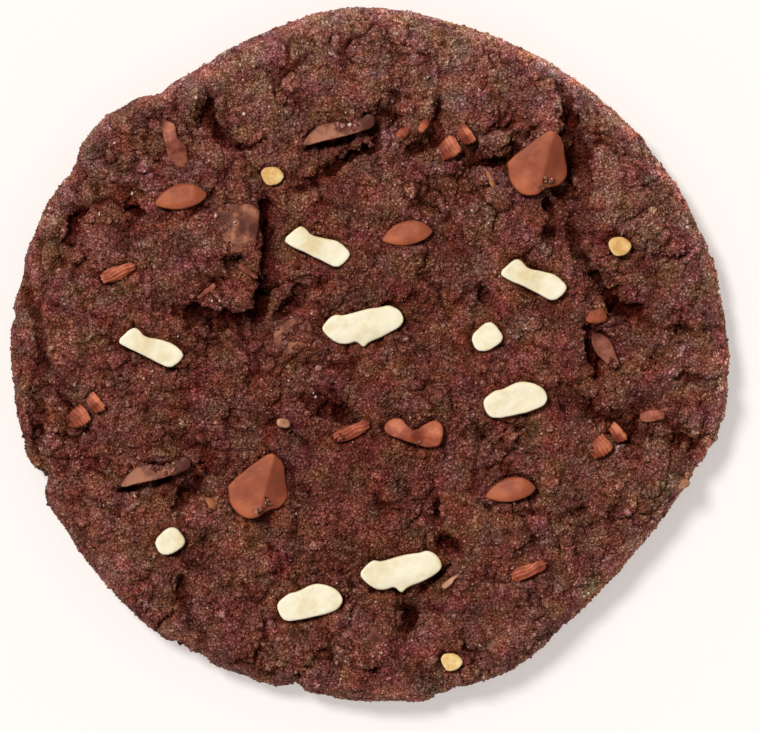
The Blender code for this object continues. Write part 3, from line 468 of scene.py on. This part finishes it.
def grains(points, across, seed):
    """Lumps about this far across: how high points stand on their lump, and how near a crease they lie."""
    size = 32
    spots = np.random.default_rng(seed).uniform(0, 1, (size, size, size, 3))
    place = points / across + size / 2
    cell = np.floor(place).astype(int)
    part = place - cell
    nearest = np.full(points.shape[0], 9.0)
    second = np.full(points.shape[0], 9.0)
    for corner in np.ndindex(3, 3, 3):
        step = np.array(corner) - 1
        at = (cell + step) % size
        away = step + spots[at[:, 0], at[:, 1], at[:, 2]] - part
        away = (away**2).sum(axis=1)
        second = np.minimum(second, np.maximum(nearest, away))
        nearest = np.minimum(nearest, away)
    crease = np.clip(1 - (np.sqrt(second) - np.sqrt(nearest)) / 0.14, 0, 1)
    return 1 - nearest, crease


def distance_to_line(x, y, line):
    """How far points lie from a line through several points."""
    nearest = np.full(x.shape, np.inf)
    for (x0, y0), (x1, y1) in zip(line, line[1:]):
        run_x, run_y = x1 - x0, y1 - y0
        t = np.clip(((x - x0) * run_x + (y - y0) * run_y) / (run_x**2 + run_y**2), 0, 1)
        nearest = np.minimum(nearest, np.hypot(x - x0 - t * run_x, y - y0 - t * run_y))
    return nearest


def relief(points):
    """How far the dough stands out from its smooth form at these points."""
    x, y = points[..., 0], points[..., 1]
    out = layered(points, LUMPS)
    waver = 0.5 * lumps(points, 2.4, 21)
    for half_width, depth, *line in CRACKS:
        out -= depth * bell((distance_to_line(x, y, line) + waver) / half_width)
    for at_x, at_y, half_width, depth in HOLLOWS:
        out -= depth * np.exp(-(((x - at_x) ** 2 + (y - at_y) ** 2) / half_width**2))
    return out


def dough_sheet(share, angle, upper):
    """Points of the upper or lower half of the smooth dough, and the ways that they face.

    Share is the way out from the middle, measured along the surface: 1 is the widest level.
    """
    radius = outline_radius(angle)
    if upper:
        inset, rise = SHOULDER_INSET, SHOULDER_HEIGHT - WIDEST_HEIGHT
    else:
        inset, rise = FOOT_INSET, -WIDEST_HEIGHT - FOOT_DIP
    corner = math.pi / 4 * (inset + abs(rise))
    flat_share = 1 - corner / (radius - inset + corner)
    turn = np.clip((1 - share) / (1 - flat_share), 0, 1)
    swing = turn * math.pi / 2
    power = 2 / SHOULDER_FULLNESS
    across = inset * (1 - np.cos(swing) ** power)
    flat = np.clip(share / flat_share, 0, 1)
    out = np.where(turn < 1, radius - across, (radius - inset) * flat)
    height = WIDEST_HEIGHT + rise * np.sin(swing) ** power
    if upper:
        height = height + CROWN_RISE * (1 - (out / radius) ** 2)
    points = np.stack([out * np.cos(angle), out * np.sin(angle), height], axis=-1)
    face_up = np.sin(swing) if upper else -np.sin(swing)
    face_out = EDGE_RELIEF * np.cos(swing)
    facing = np.stack([face_out * np.cos(angle), face_out * np.sin(angle), face_up], axis=-1)
    return points, facing


def disc_place(square):
    """Where points of a square from -1 to 1 lie on a disc: their share of the radius and their angle."""
    u, v = square[:, 0], square[:, 1]
    wide = np.abs(u) >= np.abs(v)
    safe_u = np.where(u == 0, 1, u)
    safe_v = np.where(v == 0, 1, v)
    angle = np.where(wide, math.pi / 4 * v / safe_u, math.pi / 2 - math.pi / 4 * u / safe_v)
    turned = np.where(wide, u < 0, v < 0)
    return np.maximum(np.abs(u), np.abs(v)), angle + math.pi * turned


def read_points(mesh, name="co"):
    """The vertices of a mesh as rows of numbers."""
    values = np.empty(len(mesh.vertices) * 3)
    mesh.vertices.foreach_get(name, values)
    return values.reshape(-1, 3)


def write_points(mesh, points):
    """Moves the vertices of a mesh."""
    mesh.vertices.foreach_set("co", points.ravel())
    mesh.update()


def add_shade(mesh, name, values):
    """Stores one number for each vertex, which a material can read."""
    layer = mesh.attributes.new(name, "FLOAT", "POINT")
    layer.data.foreach_set("value", np.asarray(values, float))


def dough_half(rings, upper):
    """A grid pressed into the upper or lower half of the dough."""
    form = bmesh.new()
    bmesh.ops.create_grid(form, x_segments=2 * rings, y_segments=2 * rings, size=1.0)
    if not upper:
        bmesh.ops.reverse_faces(form, faces=form.faces)
    mesh = as_mesh(form, "half")
    share, angle = disc_place(np.round(read_points(mesh), 6))
    points, facing = dough_sheet(share, angle, upper)
    stand = relief(points)
    if not upper:
        stand = stand * np.clip(points[..., 2] / WIDEST_HEIGHT, 0, 1)
    write_points(mesh, points + stand[..., None] * facing)
    return mesh


def outline_distance(x, y, corners):
    """How far points lie outside a closed outline, below zero inside it."""
    away = distance_to_line(x, y, corners + corners[:1])
    inside = np.zeros(x.shape, bool)
    for (x0, y0), (x1, y1) in zip(corners, corners[1:] + corners[:1]):
        crosses = (y0 > y) != (y1 > y)
        at = x0 + (y - y0) * (x1 - x0) / (y1 - y0 if y1 != y0 else 1.0)
        inside ^= crosses & (x < at)
    return np.where(inside, -away, away)


def rounded(corners, rounds):
    """A closed outline with its corners cut off, a few times over."""
    for _ in range(rounds):
        cut = []
        for (x0, y0), (x1, y1) in zip(corners, corners[1:] + corners[:1]):
            for share in (0.22, 0.78):
                cut.append((x0 + share * (x1 - x0), y0 + share * (y1 - y0)))
        corners = tuple(cut)
    return corners


def placed_outline(piece):
    """A piece's outline on the cookie."""
    _, outline, at_x, at_y, share = piece[:5]
    return tuple((at_x + share * x, at_y + abs(share) * y) for x, y in outline)


def bedding(points):
    """How far the dough drops under and round the pieces, and how near white chocolate lies."""
    drop = np.zeros(len(points))
    stain = np.zeros(len(points))
    uneven = 0.6 + 0.6 * lumps(points, 1.8, 83)
    for piece in PIECES:
        away = np.hypot(points[:, 0] - piece[2], points[:, 1] - piece[3])
        near = np.nonzero((away < PIECE_REACH) & (points[:, 2] > WIDEST_HEIGHT))[0]
        if not len(near):
            continue
        gap = outline_distance(points[near, 0], points[near, 1], placed_outline(piece))
        moat = MOAT_DEPTH * uneven[near] * bell(np.maximum(gap - 0.1, 0) / MOAT_WIDTH)
        under = 0.5 * np.clip(-gap / 0.5, 0, 1)
        if piece[1] in (BURIED, LOW):
            moat *= 0.4
            under *= 0
        drop[near] = np.maximum(drop[near], moat + under)
        if piece[0].startswith(("White", "Gold")):
            stain[near] = np.maximum(stain[near], bell(np.maximum(gap, 0) / 0.9))
    return drop, stain


def paleness(x, y):
    """How much lighter the crumb is here: the rim is paler than the middle, and the far side palest."""
    rim = (x**2 + y**2) / 45**2
    middle = np.exp(-8 * rim)
    far_side = 0.20 * np.clip(y / 38, 0, 1) ** 2
    return 0.18 * rim + 0.06 * middle - 0.09 + far_side + 0.07 * np.clip(x / 40, 0, 1)


def painted_rim_light(points):
    """How strongly the painted light shows: a pale strip along the right and far edge of the top."""
    angle = np.arctan2(points[:, 1], points[:, 0])
    inner = np.maximum(outline_radius(angle) - np.hypot(points[:, 0], points[:, 1]), 0)
    side = np.clip(0.55 + 0.5 * np.cos(angle - math.radians(20)), 0, 1)
    return side * bell(inner / 1.7) * np.clip(points[:, 2] / WIDEST_HEIGHT, 0, 1)


def crumble(mesh):
    """Stands the dough's crumb out along the surface, and gives back its depths for painted shade and light.
    """
    points = read_points(mesh)
    facing = read_points(mesh, "normal")
    low = np.clip(points[:, 2] / 1.2, 0, 1)  # the foot is pressed flat
    rise = np.zeros(len(points))
    warp = np.stack([lumps(points, 3.1, seed) for seed in (51, 52, 53)], axis=-1)
    for across, height, crack, seed in GRAINS:
        patchy = 0.65 + 0.6 * lumps(points, 7.0, seed + 1)
        lump, crease = grains(points + 0.3 * across * warp, across, seed)
        rise += height * patchy * (lump - 0.75)
        rise -= crack * np.clip(0.25 + 1.1 * lumps(points, 4.6, seed + 2), 0, 1) * crease**1.5
    rise += 0.12 * lumps(points, 0.8, 67)
    x, y = points[:, 0], points[:, 1]
    top = np.clip((points[:, 2] - WIDEST_HEIGHT) / 3, 0, 1)
    waver = 0.35 * lumps(points, 1.5, 71) + 0.3 * lumps(points, 0.8, 73)
    broken = np.clip(0.85 + 0.9 * lumps(points, 2.4, 87), 0.15, 1.3)
    for half_width, depth, *line in GAPS:
        rise -= top * depth * broken * bell((distance_to_line(x, y, line) + waver) / half_width)
    drop, stain = bedding(points)
    calm = (0.25 + 0.75 * low) * (0.4 + 0.6 * np.clip(1.6 * facing[:, 2], 0, 1))  # the edge is less rough
    moved = points + ((rise - drop) * calm)[:, None] * facing
    dimples = 0.05 * np.clip(1 + 2 * lumps(points, 2.6, 97), 0, 2)  # faint ones in the flat foot
    moved[:, 2] = np.maximum(moved[:, 2], dimples)
    write_points(mesh, moved)
    # Painted shade: the cracks are darker in colour than their depth alone makes them, and the rim gets
    # painted light
    painted_crack_shade = np.zeros(len(points))
    for half_width, depth, *line in CRACKS:
        far = (distance_to_line(x, y, line) + waver) / (0.8 * half_width)
        painted_crack_shade = np.maximum(painted_crack_shade, 0.55 * depth * bell(far))
    return rise - 0.6 * drop - top * painted_crack_shade + 1.2 * painted_rim_light(points), stain


def make_dough():
    """The dough's visible surface, as one closed mesh in metres."""
    form = bmesh.new()
    for upper in (True, False):
        half = dough_half(DOUGH_RINGS, upper)
        form.from_mesh(half)
        bpy.data.meshes.remove(half)
    seam = [v for v in form.verts if v.is_boundary]
    bmesh.ops.remove_doubles(form, verts=seam, dist=WELD)
    mesh = as_mesh(form, "Dough_surface")
    rise, stain = crumble(mesh)
    # How high each point stands, less its cracks and gaps, plus the rim's painted light: the painted shade
    # and light follow it
    add_shade(mesh, "painted_shade_depth", rise)
    add_shade(mesh, "stain", stain)
    points = read_points(mesh)
    add_shade(mesh, "tone", 0.5 + paleness(points[:, 0], points[:, 1]))
    mesh.transform(Matrix.Scale(MM, 4))
    mesh.shade_smooth()
    dough = add_object("Dough_surface", mesh)
    thin = dough.modifiers.new("Thin", "DECIMATE")
    thin.ratio = DOUGH_TRIANGLES / (2 * len(mesh.polygons))
    return dough


def new_material(name):
    """A new material, its node tree and its shader."""
    made = bpy.data.materials.new(name)
    made.use_nodes = True
    return made, made.node_tree, made.node_tree.nodes["Principled BSDF"]


def feed(tree, made, inputs):
    """Gives each of these inputs of a node its number, its colour or another node's result."""
    for name, value in inputs.items():
        socket = made.inputs[name]
        if isinstance(value, bpy.types.NodeSocket):
            tree.links.new(value, socket)
        elif socket.type == "RGBA":
            socket.default_value = (*value, 1.0)
        else:
            socket.default_value = value
    return made


def node(tree, kind, inputs, **settings):
    """A new node with its settings and inputs."""
    made = tree.nodes.new(f"ShaderNode{kind}")
    for name, value in settings.items():
        setattr(made, name, value)
    return feed(tree, made, inputs)


def texture(tree, kind, inputs, **settings):
    """A texture in the object's own space, with features about 1/scale metres across."""
    place = node(tree, "TexCoord", {}).outputs["Object"]
    return node(tree, f"Tex{kind}", {"Vector": place, **inputs}, **settings).outputs


def noise(tree, scale, detail=2.0, rough=0.5, output="Fac"):
    """A noise texture."""
    return texture(tree, "Noise", {"Scale": scale, "Detail": detail, "Roughness": rough})[output]


def ramp(tree, value, stops):
    """Colours along a value."""
    made = node(tree, "ValToRGB", {"Fac": value})
    while len(made.color_ramp.elements) < len(stops):
        made.color_ramp.elements.new(0.5)
    for element, (at, colour) in zip(made.color_ramp.elements, stops):
        element.position = at
        element.color = (*colour, 1.0)
    return made.outputs["Color"]


def mix(tree, share, first, second, way="MIX"):
    """A blend of two colours by a share."""
    return node(tree, "Mix", {0: share, 6: first, 7: second}, data_type="RGBA", blend_type=way).outputs[2]


def spread(tree, value, low, high, to_low=0.0, to_high=1.0):
    """A value's range stretched to another range."""
    inputs = {"Value": value, "From Min": low, "From Max": high, "To Min": to_low, "To Max": to_high}
    return node(tree, "MapRange", inputs).outputs["Result"]


def bump(tree, height, distance, strength=1.0, under=None):
    """A bump from a height, in metres, over another bump if one is given."""
    made = node(tree, "Bump", {"Height": height, "Distance": distance, "Strength": strength})
    if under:
        tree.links.new(under, made.inputs["Normal"])
    return made.outputs["Normal"]


def attribute(tree, name):
    """A number stored at each vertex."""
    return node(tree, "Attribute", {}, attribute_name=name).outputs["Fac"]


def sums(tree, way, first, second):
    """Arithmetic on two values."""
    return node(tree, "Math", {0: first, 1: second}, operation=way).outputs["Value"]


def dough_material():
    """Dark baked dough: crumb speckled light and dark, painted shade near black in creases, browner by white
    pieces.
    """
    made, tree, surface = new_material("Dough_crumb")
    speck = noise(tree, 3000.0, 2.0, 0.75)
    own = spread(tree, attribute(tree, "tone"), 0.0, 1.0, -0.2, 0.2)
    colour = ramp(tree, sums(tree, "ADD", speck, own), SPECKLE)
    wander = {0: noise(tree, 320.0, 1.0, output="Color"), 1: (HUE_WANDER,) * 3, 2: (1 - HUE_WANDER / 2,) * 3}
    hue = node(tree, "VectorMath", wander, operation="MULTIPLY_ADD").outputs["Vector"]
    colour = mix(tree, 1.0, colour, hue, "MULTIPLY")
    patch = noise(tree, 210.0, 5.0, 0.68)
    colour = mix(tree, 1.0, colour, ramp(tree, patch, PATCHES), "MULTIPLY")
    clod = noise(tree, 1000.0, 3.0, 0.6)
    colour = mix(tree, 1.0, colour, ramp(tree, clod, CLODS), "MULTIPLY")
    stain = sums(tree, "MULTIPLY", attribute(tree, "stain"), spread(tree, patch, 0.3, 0.6))
    colour = mix(tree, sums(tree, "MULTIPLY", stain, 0.65), colour, STAIN)
    grit = texture(tree, "Voronoi", {"Scale": 2100.0}, feature="DISTANCE_TO_EDGE")["Distance"]
    # Painted shade: the crumb is darker along the edges between its grains
    colour = mix(tree, 1.0, colour, ramp(tree, grit, GRAIN_GAP_SHADE), "MULTIPLY")
    # Painted shade in hollows, cracks and gaps, and painted light on high places and on the rim
    depth = spread(tree, attribute(tree, "painted_shade_depth"), -1.3, 1.4)
    colour = mix(tree, 1.0, colour, ramp(tree, depth, HOLLOW_SHADE), "MULTIPLY")
    gloss = noise(tree, 1900.0, 2.0, 0.6)
    under = bump(tree, spread(tree, grit, 0.0, 0.28), 0.00016, 0.9)
    fine = noise(tree, 3200.0, 2.0, 0.65)
    feed(tree, surface, {
        "Base Color": colour,
        "Roughness": spread(tree, gloss, 0.35, 0.7, 0.85, 0.5),
        "Specular IOR Level": 0.06,
        "Normal": bump(tree, fine, 0.0003, 0.9, under),
    })
    return made


def piece_material(slot):
    """Chocolate of one finish: clouded colour, faint streaks, painted light and highlights, a darker foot of
    painted shade and a lightly pitted face.
    """
    made = bpy.data.materials.get(f"Look_{slot}")
    if made:
        return made
    dark, middle, light, foot, roughness, clouded = FINISHES[slot]
    made, tree, surface = new_material(f"Look_{slot}")
    cloud = noise(tree, 520.0, 3.0, 0.6)
    cloud = spread(tree, cloud, 0.0, 1.0, 0.5 - clouded / 2, 0.5 + clouded / 2)
    # The streak attribute brings the streaks, the patches, and the painted light and highlights
    cloud = sums(tree, "ADD", cloud, attribute(tree, "streak"))
    colour = ramp(tree, cloud, ((0.32, dark), (0.52, middle), (0.74, light)))
    # Painted shade on the lower sides of the piece
    low = spread(tree, attribute(tree, "sunk"), 0.0, 1.0, 0.0, 0.9)
    pitted = noise(tree, 1500.0, 3.0, 0.6)
    feed(tree, surface, {
        "Base Color": mix(tree, low, colour, foot),
        "Roughness": roughness,
        "Specular IOR Level": 0.12,
        "Normal": bump(tree, pitted, 0.0001, 0.5),
    })
    return made


def apply_modifiers(thing):
    """Makes a modified object's mesh its own."""
    graph = bpy.context.evaluated_depsgraph_get()
    mesh = bpy.data.meshes.new_from_object(thing.evaluated_get(graph))
    thing.modifiers.clear()
    thing.data = mesh


def height_at(meshes, x, y):
    """The highest point of some meshes round a place, in millimetres."""
    high = 0.0
    for mesh in meshes:
        points = read_points(mesh) / MM
        near = np.hypot(points[:, 0] - x, points[:, 1] - y) < 0.28
        high = max(high, points[near, 2].max(initial=0.0))
    return high


def cut_form(corners, faces):
    """An upright prism on an outline, with its top cut to flat faces. Its top lies at height 0."""
    form = bmesh.new()
    low = [form.verts.new((x, y, -PIECE_DEPTH)) for x, y in corners]
    high = [form.verts.new((x, y, 2.0)) for x, y in corners]
    form.faces.new(low)
    form.faces.new(high)
    for here in range(len(corners)):
        after = (here + 1) % len(corners)
        form.faces.new((low[here], low[after], high[after], high[here]))
    for at_x, at_y, falls, slope in faces:
        way = math.radians(falls)
        bmesh.ops.bisect_plane(
            form,
            geom=form.verts[:] + form.edges[:] + form.faces[:],
            plane_co=(at_x, at_y, 0),
            plane_no=(slope * math.cos(way), slope * math.sin(way), 1),
            clear_outer=True,
        )
        bmesh.ops.holes_fill(form, edges=[edge for edge in form.edges if edge.is_boundary])
    bmesh.ops.recalc_face_normals(form, faces=form.faces)
    return as_mesh(form, "form")


def finish_piece(name, mesh, slot, voxel, softening, uneven, streak, tints=()):
    """Rounds a piece's edges, makes it slightly uneven and gives it its chocolate."""
    mesh.materials.clear()
    piece = add_object(f"{name}_look", mesh)
    remesh = piece.modifiers.new("Remesh", "REMESH")
    remesh.mode = "VOXEL"
    remesh.voxel_size = voxel * MM
    soften = piece.modifiers.new("Soften", "SMOOTH")
    soften.factor = 0.5
    soften.iterations = softening
    apply_modifiers(piece)
    mesh = piece.data
    points = read_points(mesh) / MM
    facing = read_points(mesh, "normal")
    rise = layered(points, uneven)
    bands = np.zeros(len(points))
    if streak is not None:
        way = math.radians(streak)
        along = points[:, 0] * math.cos(way) + points[:, 1] * math.sin(way)
        bands = np.sin(along * 2 * math.pi / STREAK_WIDTH + 3.0 * lumps(points, 1.1, 91))
        rise += 0.05 * bands
        bands = bands + 0.9 * (along - along.mean())
    write_points(mesh, (points + rise[:, None] * facing) * MM)
    # Painted shade: a piece's lower sides, where it goes into the dough, take the darker edge colour
    below = np.clip((points[:, 2].max() - 0.2 - points[:, 2]) / 0.7, 0, 1)
    add_shade(mesh, "sunk", below * np.clip(1.1 - facing[:, 2], 0, 1))
    # Painted light: faces that lean to the lower left are lighter; it rides in the streak attribute with the
    # streaks
    painted_light_lean = -0.7 * facing[:, 0] - 0.7 * facing[:, 1]
    shade = 0.09 * bands + 0.22 * np.clip(painted_light_lean, -0.3, 1.0)
    # Lighter and darker patches, among them painted highlights
    for at_x, at_y, radius, lighter in tints:
        shade += lighter * np.exp(-((points[:, 0] - at_x) ** 2 + (points[:, 1] - at_y) ** 2) / radius**2)
    add_shade(mesh, "streak", shade)
    mesh.shade_smooth()
    mesh.materials.append(piece_material(slot))
    if name in frame["nodes"]:
        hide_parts(name)
    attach(piece, BODY)
    return piece


def make_shaped(row, slot, dough):
    """One of the large pieces, from its outline and the flat faces of its top."""
    name, outline, at_x, at_y, share, faces, rounds, softening, streak = row
    mesh = cut_form(rounded(outline, rounds), faces)
    points = read_points(mesh) * (share, abs(share), abs(share))
    x, y = points[:, 0] + at_x, points[:, 1] + at_y
    if name in frame["nodes"]:
        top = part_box(name)[1].z / MM - PIECE_SINK
    else:
        top = height_at([dough], at_x, at_y) + 0.25
    write_points(mesh, np.stack([x, y, points[:, 2] + top], axis=-1) * MM)
    tints = [
        (at_x + share * patch_x, at_y + share * patch_y, radius, lighter)
        for kind, *patches in TINTS
        if kind is outline
        for patch_x, patch_y, radius, lighter in patches
    ]
    return finish_piece(name, mesh, slot, VOXEL, softening, UNEVEN, streak, tints)


def make_small(name, slot):
    """One of the small pieces: a fine copy of its node."""
    mesh = frame["nodes"][name].data.copy()
    form = bmesh.new()
    form.from_mesh(mesh)
    bmesh.ops.remove_doubles(form, verts=form.verts, dist=WELD)
    form.to_mesh(mesh)
    form.free()
    return finish_piece(name, mesh, slot, SMALL_VOXEL, 3, SMALL_UNEVEN, None)


def make_pieces(dough):
    """Every piece of chocolate: its object for each name."""
    slots = {part["node"]: part["material_slot"] for part in frame["record"]["subparts"]}
    made = {}
    for row in PIECES:
        made[row[0]] = make_shaped(row, slots.get(row[0], "red"), dough)
    for name, slot in slots.items():
        if name != "Dough" and name not in made:
            made[name] = make_small(name, slot)
    return made


def small_outlines():
    """Outlines of the small pieces, seen from above."""
    shaped = [row[0] for row in PIECES]
    outlines = []
    for name, thing in frame["nodes"].items():
        if name == "Dough" or name in shaped:
            continue
        places = [vertex.co.xy / MM for vertex in thing.data.vertices]
        outlines.append(tuple(tuple(places[at]) for at in convex_hull_2d(places)))
    return outlines


def clear_of_pieces(points, margin):
    """Which points lie clear of the pieces, seen from above."""
    clear = np.ones(len(points), bool)
    outlines = [placed_outline(row) for row in PIECES if row[1] not in (BURIED, LOW)]
    for corners in outlines + small_outlines():
        middle = np.mean(corners, axis=0)
        near = np.nonzero(np.hypot(points[:, 0] - middle[0], points[:, 1] - middle[1]) < PIECE_REACH)[0]
        gap = outline_distance(points[near, 0], points[near, 1], corners)
        clear[near[gap < margin]] = False
    return clear


def surface_places(mesh, count, draw):
    """Random places on a mesh, evenly spread: points in millimetres, ways that they face and their depths
    for painted shade.
    """
    mesh.calc_loop_triangles()
    corners = np.empty(len(mesh.loop_triangles) * 3, int)
    mesh.loop_triangles.foreach_get("vertices", corners)
    corners = corners.reshape(-1, 3)
    points = read_points(mesh) / MM
    first, second, third = (points[corners[:, at]] for at in range(3))
    normal = np.cross(second - first, third - first)
    area = np.linalg.norm(normal, axis=1)
    normal /= np.maximum(area, 1e-12)[:, None]
    chosen = draw.choice(len(corners), size=count, p=area / area.sum())
    share = np.sort(draw.random((count, 2)), axis=1)
    weights = np.stack([share[:, 0], share[:, 1] - share[:, 0], 1 - share[:, 1]], axis=-1)
    where = np.einsum("ij,ijk->ik", weights, points[corners[chosen]])
    depth = np.zeros(count)
    if "painted_shade_depth" in mesh.attributes:
        values = np.empty(len(points))
        mesh.attributes["painted_shade_depth"].data.foreach_get("value", values)
        depth = values[corners[chosen, 0]]
    return where, normal[chosen], depth


def any_turns(count, draw):
    """Random rotations, as matrices."""
    w, x, y, z = draw.normal(size=(count, 4)).T
    size = np.sqrt(w * w + x * x + y * y + z * z)
    w, x, y, z = w / size, x / size, y / size, z / size
    rows = [
        [1 - 2 * (y * y + z * z), 2 * (x * y - z * w), 2 * (x * z + y * w)],
        [2 * (x * y + z * w), 1 - 2 * (x * x + z * z), 2 * (y * z - x * w)],
        [2 * (x * z - y * w), 2 * (y * z + x * w), 1 - 2 * (x * x + y * y)],
    ]
    return np.moveaxis(np.array(rows), 2, 0)


def unit_form(divisions):
    """A round form of triangles about a millimetre in radius: its points and its faces."""
    form = bmesh.new()
    if divisions:
        bmesh.ops.create_icosphere(form, subdivisions=divisions, radius=1.0)
        points = np.array([vertex.co[:] for vertex in form.verts])
        faces = np.array([[vertex.index for vertex in face.verts] for face in form.faces])
    else:
        points = np.array([(1, 0, 0), (-1, 0, 0), (0, 1, 0), (0, -1, 0), (0, 0, 1), (0, 0, -1)], float)
        faces = np.array(EIGHT_SIDES)
    form.free()
    return points, faces


def scatter(name, material, places, sizes, divisions, rough, sink, draw, tones):
    """Many loose bits as one mesh: each a rough round form, turned at random and sunk into the surface."""
    where, facing, depth = places
    count = len(where)
    points, faces = unit_form(divisions)
    half = (sizes / 2)[:, None, None]
    stretch = draw.uniform(0.5, 1.3, (count, 1, 3))
    bits = points[None] * stretch * draw.uniform(1 - rough, 1 + rough, (count, len(points), 1))
    bits = np.einsum("nij,nkj->nki", any_turns(count, draw), bits) * half
    sunk = sink + 0.3 * (1 - np.clip(facing[:, 2], 0, 1))  # deeper on the edge, whose outline is even
    bits += (where + facing * ((0.5 - sunk) * sizes)[:, None])[:, None]
    bits[..., 2] = np.maximum(bits[..., 2], 0.02)
    mesh = bpy.data.meshes.new(name)
    every = (faces[None] + (np.arange(count) * len(points))[:, None, None]).reshape(-1, 3)
    mesh.from_pydata((bits * MM).reshape(-1, 3).tolist(), [], every.tolist(), shade_flat=False)
    mesh.validate()
    add_shade(mesh, "tone", np.repeat(tones, len(points)))
    # Each bit takes the painted shade of the dough under it
    add_shade(mesh, "painted_shade_depth", np.repeat(depth, len(points)))
    add_shade(mesh, "stain", np.zeros(count * len(points)))
    mesh.materials.append(material)
    loose = add_object(name, mesh)
    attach(loose, BODY)
    return loose


def open_places(mesh, count, margin, upright, draw):
    """Random places on the dough that no piece covers and that face up at least this much."""
    where, facing, depth = surface_places(mesh, count, draw)
    kept = clear_of_pieces(where, margin) & (where[:, 2] > 0.5) & (facing[:, 2] > upright)
    return where[kept], facing[kept], depth[kept]


def dusted_places(mesh, spot, draw):
    """Random places on top of a piece, round one spot."""
    at_x, at_y, radius, count = spot
    where, facing, depth = surface_places(mesh, 60 * count, draw)
    away = np.hypot(where[:, 0] - at_x, where[:, 1] - at_y) / radius
    kept = (facing[:, 2] > 0.3) & (away + 0.5 * lumps(where, 1.0, 93) < 0.9)
    return where[kept][:count], facing[kept][:count], depth[kept][:count]


def joined(*groups):
    """Several groups of places as one."""
    return tuple(np.concatenate(parts) for parts in zip(*groups))


def sugar_material():
    """Pale sugar grains, a little pink from the dough."""
    made, tree, surface = new_material("Sugar")
    colour = ramp(tree, attribute(tree, "tone"), SUGAR_COLOURS)
    feed(tree, surface, {"Base Color": colour, "Roughness": 0.35, "Specular IOR Level": 0.4})
    return made


def make_crumb(dough, made):
    """Grit, crumbs and sugar on the dough and on some pieces."""
    draw = np.random.default_rng(SEED)
    crumb = dough.data.materials[0]
    dusted = joined(
        *(dusted_places(made[name].data, spot, draw) for name, *spots in DUSTED for spot in spots)
    )
    for name, count, least, most, divisions, margin, upright, rough, sink, uneven in CRUMB:
        places = open_places(dough.data, int(count * TRIES), margin, upright, draw)
        if name == "Crumb_bits":
            places = joined(dusted, places)
        places = tuple(part[:count] for part in places)
        sizes = least + (most - least) * draw.random(len(places[0])) ** 1.8
        tones = draw.normal(0.53, uneven, len(sizes)) + paleness(places[0][:, 0], places[0][:, 1])
        # The bits take a little less painted shade than the dough under them
        places = (places[0], places[1], places[2] + 0.15)
        scatter(name, crumb, places, sizes, divisions, rough, sink, draw, tones)

    count, least, most = SUGAR
    places = open_places(dough.data, int(count * TRIES), 0.2, 0.2, draw)
    places = tuple(part[:count] for part in places)
    meshes = [dough.data] + [piece.data for piece in made.values()]
    spots = np.array([(x, y, height_at(meshes, x, y)) for x, y in BRIGHT_SPECKS])
    facing = np.tile((0.0, 0.0, 1.0), (len(spots), 1))
    places = joined(places, (spots, facing, np.zeros(len(spots))))
    sizes = least + (most - least) * draw.random(len(places[0]))
    sizes[-len(spots) :] = BRIGHT_SIZE
    tones = draw.random(len(sizes)) ** 1.8
    tones[-len(spots) :] = BRIGHT_TONE
    scatter("Sugar_specks", sugar_material(), places, sizes, 0, 0.25, 0.2, draw, tones)


def make_camera():
    """The camera, straight above the photograph's middle."""
    data = bpy.data.cameras.new("Camera")
    data.sensor_width = SENSOR
    data.lens = SENSOR * (VIEW_DISTANCE - WIDEST_HEIGHT) / VIEW_WIDTH
    data.clip_start = 0.01
    data.clip_end = 10.0
    camera = add_object("Camera", data)
    camera.location = Vector((*VIEW_CENTRE, VIEW_DISTANCE)) * MM
    bpy.context.scene.camera = camera


def make_light():
    """Soft studio light: an even sky and a wide sun from the upper left."""
    world = bpy.data.worlds.new("Studio")
    bpy.context.scene.world = world
    world.use_nodes = True
    tree = world.node_tree
    feed(tree, tree.nodes["Background"], {"Color": SKY_COLOUR, "Strength": SKY_STRENGTH})
    data = bpy.data.lights.new("Sun", "SUN")
    data.energy = SUN_STRENGTH
    data.angle = math.radians(SUN_WIDTH)
    data.color = SUN_COLOUR
    sun = add_object("Sun", data)
    toward = Vector((-1.0, 1.0, math.sqrt(2) * math.tan(math.radians(SUN_HEIGHT))))
    sun.rotation_mode = "QUATERNION"
    sun.rotation_quaternion = toward.to_track_quat("Z", "Y")
    bpy.context.scene.view_settings.view_transform = "Standard"


def make_floor():
    """A plain pale floor."""
    form = bmesh.new()
    bmesh.ops.create_grid(form, x_segments=1, y_segments=1, size=FLOOR_SIDE / 2)
    mesh = as_mesh(form, "Floor")
    floor = add_object("Floor", mesh)
    made, tree, surface = new_material("Floor_paper")
    feed(tree, surface, {
        "Base Color": FLOOR_COLOUR,
        "Emission Color": FLOOR_GLOW,
        "Emission Strength": FLOOR_GLOW_STRENGTH,
        "Roughness": 0.9,
        "Specular IOR Level": 0.0,
    })
    mesh.materials.append(made)


def main():
    make_camera()
    make_light()
    make_floor()
    dough = make_dough()
    apply_modifiers(dough)
    dough.data.materials.append(dough_material())
    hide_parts("Dough")
    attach(dough, BODY)
    made = make_pieces(dough.data)
    make_crumb(dough, made)


main()
